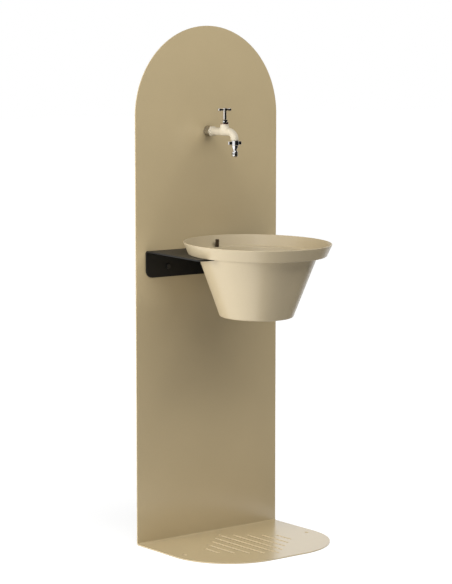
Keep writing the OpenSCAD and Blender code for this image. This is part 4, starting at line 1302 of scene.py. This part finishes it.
class STANDPIPE_OT_tap(Operator):
    """Makes the tap's casting, its rosette and its back nut"""
    bl_idname = "standpipe.tap"
    bl_label = "Make Tap Body"

    def execute(self, context):
        tap = context.scene.standpipe.tap
        along = Matrix.Translation(TAP) @ FORWARD
        low = (-CASTING_SIDE, -tap.reach - CASTING_AHEAD, -tap.bend_radius - REACH_PAST)
        high = (CASTING_SIDE, -CASTING_BACK, tap.boss_height + REACH_PAST)
        casting = cast_mesh(lambda points: self.casting_field(tap, points), low, high, CASTING_PITCH,
                            Matrix.Translation(TAP))
        tail = self.tail_mesh(tap, along)
        outlet_low = -tap.bend_radius - tap.outlet_length
        bore = tap.spout_bore / 2
        rows = thread_rows(tap.outlet, tap.outlet_pitch, -tap.bend_radius, outlet_low)
        rows += [row(bore, outlet_low), row(bore, -tap.bend_radius)]
        outlet = rows_mesh(rows, [Matrix.Translation(OUTLET)])
        make_piece("tap_casting", [casting, tail, outlet], cream_enamel(tap.paint), "stand", "cream_paint",
                   "tap_body", smooth=False)

        hole = tap.tail / 2 + FIT_GAP
        section = rounded([(hole, 0, 0), (tap.rosette / 2, 0, 0),
                           (tap.rosette / 2, tap.rosette_rim, tap.rosette_rim_edge),
                           (tap.rosette_front / 2, tap.rosette_thickness, tap.rosette_edge),
                           (hole, tap.rosette_thickness, tap.rosette_bore_edge)])
        # The rosette's dark tint is painted shade.
        make_piece("rosette", [turned_mesh(section, [along])], satin_plating_with_painted_shade(), "stand", "chrome",
                   "wall_rosette")

        start = -tap.back_nut_start
        rows = nut_rows(tap.back_nut_flats, start - tap.back_nut_height, start, hole, tap.back_nut_chamfer)
        make_piece("lock_nut", [rows_mesh(rows, [along])], brass(), "stand", "brass", "back_nut")
        return {"FINISHED"}

    def tail_mesh(self, tap, along):
        """The threaded tail with its relief groove and its inlet, which lies below the axis."""
        groove_end = -tap.groove_start - tap.groove_width
        core = tap.tail / 2 - tap.groove_depth
        rows = (thread_rows(tap.tail, tap.tail_pitch, -tap.tail_length, groove_end, TAIL_THREAD_DEPTH)
                + [row(core, groove_end), row(core, -tap.groove_start)]
                + [row(tap.tail / 2, -tap.groove_start), row(tap.tail / 2, tap.rosette_thickness)])
        ends = []
        for height in (tap.rosette_thickness, -tap.tail_length):
            ring = [(x, y - tap.inlet_drop, z) for x, y, z in row(tap.inlet_bore / 2, height)]
            ends.append(ring)
        return rows_mesh(rows + ends, [along])

    def casting_field(self, tap, points):
        """Collar, tube, boss and bent spout, with the waterway cut out."""
        x, back, up = points.T
        ahead = -back
        along = np.stack([x, up, ahead], 1)
        valve = points - np.array([0, VALVE.y - TAP.y, 0])
        start = tap.rosette_thickness
        bend_start = tap.reach - tap.bend_radius
        tube = rod_field(along, tap.tube / 2, start, bend_start)
        bend = self.bend_field(tap, points, tap.tube / 2)
        outer = tap.bend_radius + tap.tube / 2
        slant = ((ahead - bend_start) * math.cos(tap.slim_turn)
                 + (up + tap.bend_radius) * math.sin(tap.slim_turn) - outer)
        ball = np.linalg.norm(valve - np.array([0, 0, tap.ball_height]), axis=1) - tap.ball / 2
        taper = (tap.ball - tap.boss_top) / 2 / (tap.boss_height - tap.ball_height)
        radius = np.hypot(valve[:, 0], valve[:, 1])
        boss = np.maximum(radius - tap.ball / 2 + taper * (up - tap.ball_height), tap.ball_height - up)
        spout = smooth_max(np.minimum(tube, bend), slant, tap.slim_blend)
        body = smooth_min(spout, ball, tap.blend)
        body = smooth_min(body, boss, tap.blend)
        sides = [np.abs(x * math.cos(turn) + up * math.sin(turn)) for turn in np.radians([30, 90, 150])]
        hexagon = smooth_max(smooth_max(sides[0], sides[1], tap.edge), sides[2], tap.edge)
        end = start + tap.collar_length
        ends = np.maximum(ahead - end, start - ahead)
        hexagon = smooth_max(hexagon - tap.collar_flats / 2, ends, tap.edge)
        past_flat = np.hypot(x, up) - HEX_FLAT * tap.collar_flats / 2
        bevel = past_flat * math.sin(HEX_BEVEL) + (ahead - end) * math.cos(HEX_BEVEL)
        hexagon = smooth_max(hexagon, bevel, tap.bevel_edge)
        body = smooth_min(body, hexagon, tap.collar_blend)
        body = smooth_max(body, up - tap.boss_height, tap.edge)
        body = smooth_max(body, -tap.bend_radius - up, tap.edge)
        body = np.maximum(body, start - ahead)
        return np.maximum(body, -self.waterway_field(tap, points, along, valve))

    def bend_field(self, tap, points, radius):
        """Distance to a round bar along the spout's bend, which turns from forward to down."""
        x, back, up = points.T
        out = -back - (tap.reach - tap.bend_radius)
        rise = up + tap.bend_radius
        angle = np.clip(np.arctan2(rise, out), 0, math.pi / 2)
        side = np.hypot(out - tap.bend_radius * np.cos(angle), rise - tap.bend_radius * np.sin(angle))
        return np.hypot(x, side) - radius

    def waterway_field(self, tap, points, along, valve):
        """In under the seat, up through it, over its rim and out down the spout."""
        boss_setback = TAP.y - VALVE.y
        bend_start = tap.reach - tap.bend_radius
        inlet_points = along + np.array([0, tap.inlet_drop, 0])
        inlet_end = boss_setback + tap.seat_bore / 2
        inlet = rod_field(inlet_points, tap.inlet_bore / 2, 0, inlet_end)
        spout = rod_field(along, tap.spout_bore / 2, inlet_end + tap.water_web, bend_start)
        bend = self.bend_field(tap, points, tap.spout_bore / 2)
        chamber = rod_field(valve, tap.chamber / 2, tap.seat_height, tap.boss_height + REACH_PAST)
        groove = rod_field(valve, tap.chamber / 2, tap.seat_height - tap.seat_groove, tap.seat_height)
        groove = np.maximum(groove, tap.seat_rim / 2 - np.hypot(valve[:, 0], valve[:, 1]))
        seat = rod_field(valve, tap.seat_bore / 2, -tap.inlet_drop, tap.seat_height + REACH_PAST)
        port_points = valve + np.array([0, (tap.seat_rim + tap.port) / 2, 0])
        port = rod_field(port_points, tap.port / 2, 0, tap.seat_height)
        return np.minimum.reduce([inlet, spout, bend, chamber, groove, seat, port])


class STANDPIPE_OT_head(Operator):
    """Makes the tap's bonnet, gland nut, tee handle and screw"""
    bl_idname = "standpipe.head"
    bl_label = "Make Tap Head"

    def execute(self, context):
        tap = context.scene.standpipe.tap
        handle = context.scene.standpipe.handle
        place = Matrix.Translation(VALVE)
        plating = chrome()
        skirt = tap.chamber / 2 - FIT_GAP
        stem = tap.stem_bore / 2
        hexagon_top = tap.bonnet_low + tap.bonnet_hexagon
        neck, well = tap.bonnet_neck / 2, tap.packing / 2
        edge = tap.head_chamfer
        rows = ([row(skirt, tap.skirt_low), row(skirt, tap.bonnet_low)]
                + [row(hexagon_radius(tap.bonnet_flats), tap.bonnet_low)]
                + hex_rows(tap.bonnet_flats, hexagon_top, 1)[::-1]
                + [row(neck, hexagon_top), row(neck, tap.bonnet_top - edge)]
                + [row(neck - edge, tap.bonnet_top), row(well, tap.bonnet_top)]
                + [row(well, tap.packing_low), row(stem, tap.packing_low)]
                + [row(stem, tap.spindle_bore_top), row(tap.spindle_bore / 2, tap.spindle_bore_top)]
                + [row(tap.spindle_bore / 2, tap.skirt_low)])
        make_piece("bonnet_head", [rows_mesh(rows, [place])], plating, "stand", "chrome", "bonnet")
        rows = ([row(well - FIT_GAP, tap.packing_top), row(well - FIT_GAP, tap.bonnet_top)]
                + [row(hexagon_radius(tap.gland_flats), tap.bonnet_top)]
                + hex_rows(tap.gland_flats, tap.gland_top, 1)[::-1]
                + [row(stem + edge, tap.gland_top), row(stem, tap.gland_top - edge)]
                + [row(stem, tap.packing_top)])
        make_piece("gland", [rows_mesh(rows, [place])], plating, "stand", "chrome", "gland_nut")

        half = handle.bar_length / 2 + REACH_PAST
        side = handle.foot / 2 + REACH_PAST
        low = (-half, -side, handle.neck_low - REACH_PAST)
        high = (half, side, handle.bar_height + handle.hub_height / 2 + REACH_PAST)
        tee = cast_mesh(lambda points: self.tee_field(tap, handle, points), low, high, HANDLE_PITCH, place)
        # The darker chrome tint of the handle and its screw is painted shade.
        make_piece("tee", [tee], chrome_with_painted_shade(), "spindle", "chrome", "tee_handle", smooth=False)
        self.make_screw(handle, place, chrome_with_painted_shade())
        return {"FINISHED"}

    def tee_field(self, tap, handle, points):
        """Neck, hub and a bar with two bulb ends, with the holes for spindle and screw."""
        hub_low = handle.bar_height - handle.hub_height / 2
        hub_top = handle.bar_height + handle.hub_height / 2
        foot_radius, neck_radius, hub_radius = handle.foot / 2, handle.neck / 2, handle.hub / 2
        flare = [(foot_radius + (neck_radius - foot_radius) * math.sin(turn),
                  handle.neck_low + handle.foot_height * turn / (math.pi / 2))
                 for turn in np.linspace(0, math.pi / 2, FLARE_STEPS + 1)]
        middle = -handle.foot      # past the axis, so that the axis is no side of the section
        section = [(middle, handle.neck_low), *flare, (neck_radius, hub_low), (middle, hub_low)]
        neck = section_field(points, section)
        edge = handle.hub_edge
        hub = rod_field(points, hub_radius - edge, hub_low + edge, hub_top - edge) - edge
        out = np.abs(points[:, 0])
        bulb, waist = handle.bulb / 2, handle.waist / 2
        centre = handle.bar_length / 2 - bulb
        rise = np.clip((out - centre + handle.bulb_length) / handle.bulb_length, 0, 1)
        thick = waist + (bulb - waist) * rise ** 2 * (3 - 2 * rise)
        from_axis = np.hypot(points[:, 1], points[:, 2] - handle.bar_height)
        bar = np.hypot(from_axis, np.maximum(out - centre, 0)) - thick
        body = smooth_min(smooth_min(neck, hub, handle.neck_blend), bar, handle.blend)
        body = np.maximum(body, handle.neck_low - points[:, 2])
        spindle_top = hub_top - handle.hub_roof
        holes = [rod_field(points, tap.stem_bore / 2, handle.neck_low - REACH_PAST, hub_low),
                 rod_field(points, handle.stem_end_bore / 2, hub_low - REACH_PAST, spindle_top),
                 rod_field(points, handle.screw / 2 + FIT_GAP, spindle_top - REACH_PAST,
                           hub_top + REACH_PAST)]
        return np.maximum(body, -np.minimum.reduce(holes))

    def make_screw(self, handle, place, plating):
        """The slotted screw that holds the handle."""
        seat = handle.bar_height + handle.hub_height / 2
        top = seat + handle.screw_height
        head, shank = handle.screw_head / 2, handle.screw / 2
        end = seat - handle.screw_length
        section = rounded([(0, end, 0), (shank, end, handle.screw_end_edge), (shank, seat, 0),
                           (head, seat, handle.screw_low_edge),
                           (head, top - handle.screw_bevel, handle.screw_edge),
                           (handle.screw_top / 2, top, handle.screw_top_edge), (0, top, 0)])
        screw = make_piece("handle_slotted_screw", [turned_mesh(section, [place])], plating, "spindle",
                           "chrome", "handle_screw")
        bm = bmesh.new()
        size = Matrix.Diagonal((2 * handle.screw_head, handle.screw_slot, 2 * handle.slot_depth, 1))
        turn = Matrix.Rotation(handle.slot_turn, 4, "Z")
        bmesh.ops.create_cube(bm, size=1.0, matrix=place @ Matrix.Translation((0, 0, top)) @ turn @ size)
        mesh = bpy.data.meshes.new("slot_cutter")
        bm.to_mesh(mesh)
        bm.free()
        cut_shape(screw, mesh)


class STANDPIPE_OT_connector(Operator):
    """Makes the lugged hose connector and its rubber ring"""
    bl_idname = "standpipe.connector"
    bl_label = "Make Hose Connector"

    def execute(self, context):
        connector = context.scene.standpipe.connector
        place = Matrix.Translation(OUTLET)
        heights = self.heights(connector)
        half = connector.lug_span / 2 + REACH_PAST
        side = connector.nut / 2 + REACH_PAST
        low = (-half, -side, heights["end"] - REACH_PAST)
        high = (half, side, heights["top"] + REACH_PAST)
        nipple = cast_mesh(lambda points: self.connector_field(connector, heights, points), low, high,
                           CONNECTOR_PITCH, place)
        make_piece("lugged_nipple", [nipple], chrome(), "connector", "chrome", "hose_connector",
                   smooth=False)
        ring = connector.ring / 2
        centre = connector.nipple / 2 - connector.groove_depth + connector.ring_gap + ring
        section = circle_loop((centre, heights["groove"]), ring, RING_STEPS)
        make_piece("seal_ring", [turned_mesh(section, [place])], rubber(), "connector", "black_rubber",
                   "connector_o_ring")
        return {"FINISHED"}

    def heights(self, connector):
        """Heights of the connector's corners, from top to bottom."""
        drops = [("top", connector.nut_top), ("nut_low", connector.nut_height),
                 ("waist_top", connector.cone_length), ("waist_low", connector.waist_length),
                 ("land_top", connector.shoulder), ("land_low", connector.land),
                 ("end", connector.tip_length)]
        heights, height = {}, 0.0
        for name, drop in drops:
            height -= drop
            heights[name] = height
        heights["groove"] = (heights["land_top"] + heights["land_low"]) / 2
        return heights

    def connector_field(self, connector, heights, points):
        """Nut with two lugs, cone, waist and round end with its groove, bored through."""
        edge = connector.edge
        nut, cone, waist = connector.nut / 2, connector.cone / 2, connector.waist / 2
        cone_low, nipple, tip = connector.cone_low / 2, connector.nipple / 2, connector.tip / 2
        groove_high = heights["groove"] + connector.groove_width / 2
        groove_low = heights["groove"] - connector.groove_width / 2
        groove_floor = nipple - connector.groove_depth
        middle = -connector.nut      # past the axis, so that the axis is no side of the section
        section = rounded([
            (middle, heights["top"], 0), (nut, heights["top"], 2 * edge),
            (nut, heights["nut_low"], 2 * edge), (cone, heights["nut_low"], edge),
            (cone_low, heights["waist_top"], edge), (waist, heights["waist_top"], edge),
            (waist, heights["waist_low"], 2 * edge), (nipple, heights["land_top"], edge),
            (nipple, groove_high, connector.groove_edge), (groove_floor, groove_high, 0),
            (groove_floor, groove_low, 0), (nipple, groove_low, connector.groove_edge),
            (nipple, heights["land_low"], edge), (tip, heights["end"], 2 * edge),
            (middle, heights["end"], 0)])
        body = section_field(points, section)
        x, y, z = points.T
        radius = connector.lug_width / 2 - connector.lug_edge
        reach = connector.lug_span / 2 - connector.lug_width / 2
        side = np.hypot(np.maximum(np.abs(x) - reach, 0), y) - radius
        lug_middle = (heights["top"] + heights["nut_low"]) / 2
        end = np.abs(z - lug_middle) - connector.lug_height / 2 + connector.lug_edge
        lugs = shared_field(side, end) - connector.lug_edge
        body = smooth_min(body, lugs, connector.blend)
        floor = -connector.nut_floor
        holes = [rod_field(points, connector.thread_bore / 2, floor, heights["top"] + REACH_PAST),
                 rod_field(points, connector.bore / 2, heights["end"] - REACH_PAST, floor + REACH_PAST)]
        return np.maximum(body, -np.minimum.reduce(holes))


class STANDPIPE_OT_inner(Operator):
    """Gives the inner pieces, which keep the frame's own shapes, their finishes"""
    bl_idname = "standpipe.inner"
    bl_label = "Finish Inner Pieces"

    def execute(self, context):
        finishes = {
            rubber(): ("panel_washer", "gland_packing", "valve_washer", "outlet_washer"),
            fibre(): ("bonnet_washer",),
            brass(): ("spindle", "jumper_valve", "washer_nut"),
        }
        for material, nodes in finishes.items():
            for name in nodes:
                materials = frame["nodes"][name].data.materials
                materials.clear()
                materials.append(material)
        return {"FINISHED"}


# Panel and registration

OPERATORS = (STANDPIPE_OT_stage, STANDPIPE_OT_stand, STANDPIPE_OT_bracket, STANDPIPE_OT_fasteners,
             STANDPIPE_OT_basin, STANDPIPE_OT_tap, STANDPIPE_OT_head, STANDPIPE_OT_connector,
             STANDPIPE_OT_inner)
SETTINGS = (StandSettings, BracketSettings, BasinSettings, TapSettings, HandleSettings, ConnectorSettings,
            StageSettings, StandpipeSettings)


class STANDPIPE_PT_panel(Panel):
    """Settings and steps of the standpipe"""
    bl_idname = "STANDPIPE_PT_panel"
    bl_label = "Garden Standpipe"
    bl_space_type = "VIEW_3D"
    bl_region_type = "UI"
    bl_category = "Standpipe"

    def draw(self, context):
        settings = context.scene.standpipe
        for operator in OPERATORS:
            self.layout.operator(operator.bl_idname)
        for group in settings.bl_rna.properties:
            if group.type == "POINTER" and group.identifier != "rna_type":
                box = self.layout.box()
                box.label(text=group.identifier.title())
                values = getattr(settings, group.identifier)
                for value in values.bl_rna.properties:
                    if not value.is_readonly and value.identifier != "name":
                        box.prop(values, value.identifier)


def register():
    for each in SETTINGS + OPERATORS + (STANDPIPE_PT_panel,):
        bpy.utils.register_class(each)
    bpy.types.Scene.standpipe = PointerProperty(type=StandpipeSettings)


def unregister():
    del bpy.types.Scene.standpipe
    for each in reversed(SETTINGS + OPERATORS + (STANDPIPE_PT_panel,)):
        bpy.utils.unregister_class(each)


def main():
    register()
    for operator in OPERATORS:
        group, name = operator.bl_idname.split(".")
        getattr(getattr(bpy.ops, group), name)()


if __name__ == "__main__":
    main()
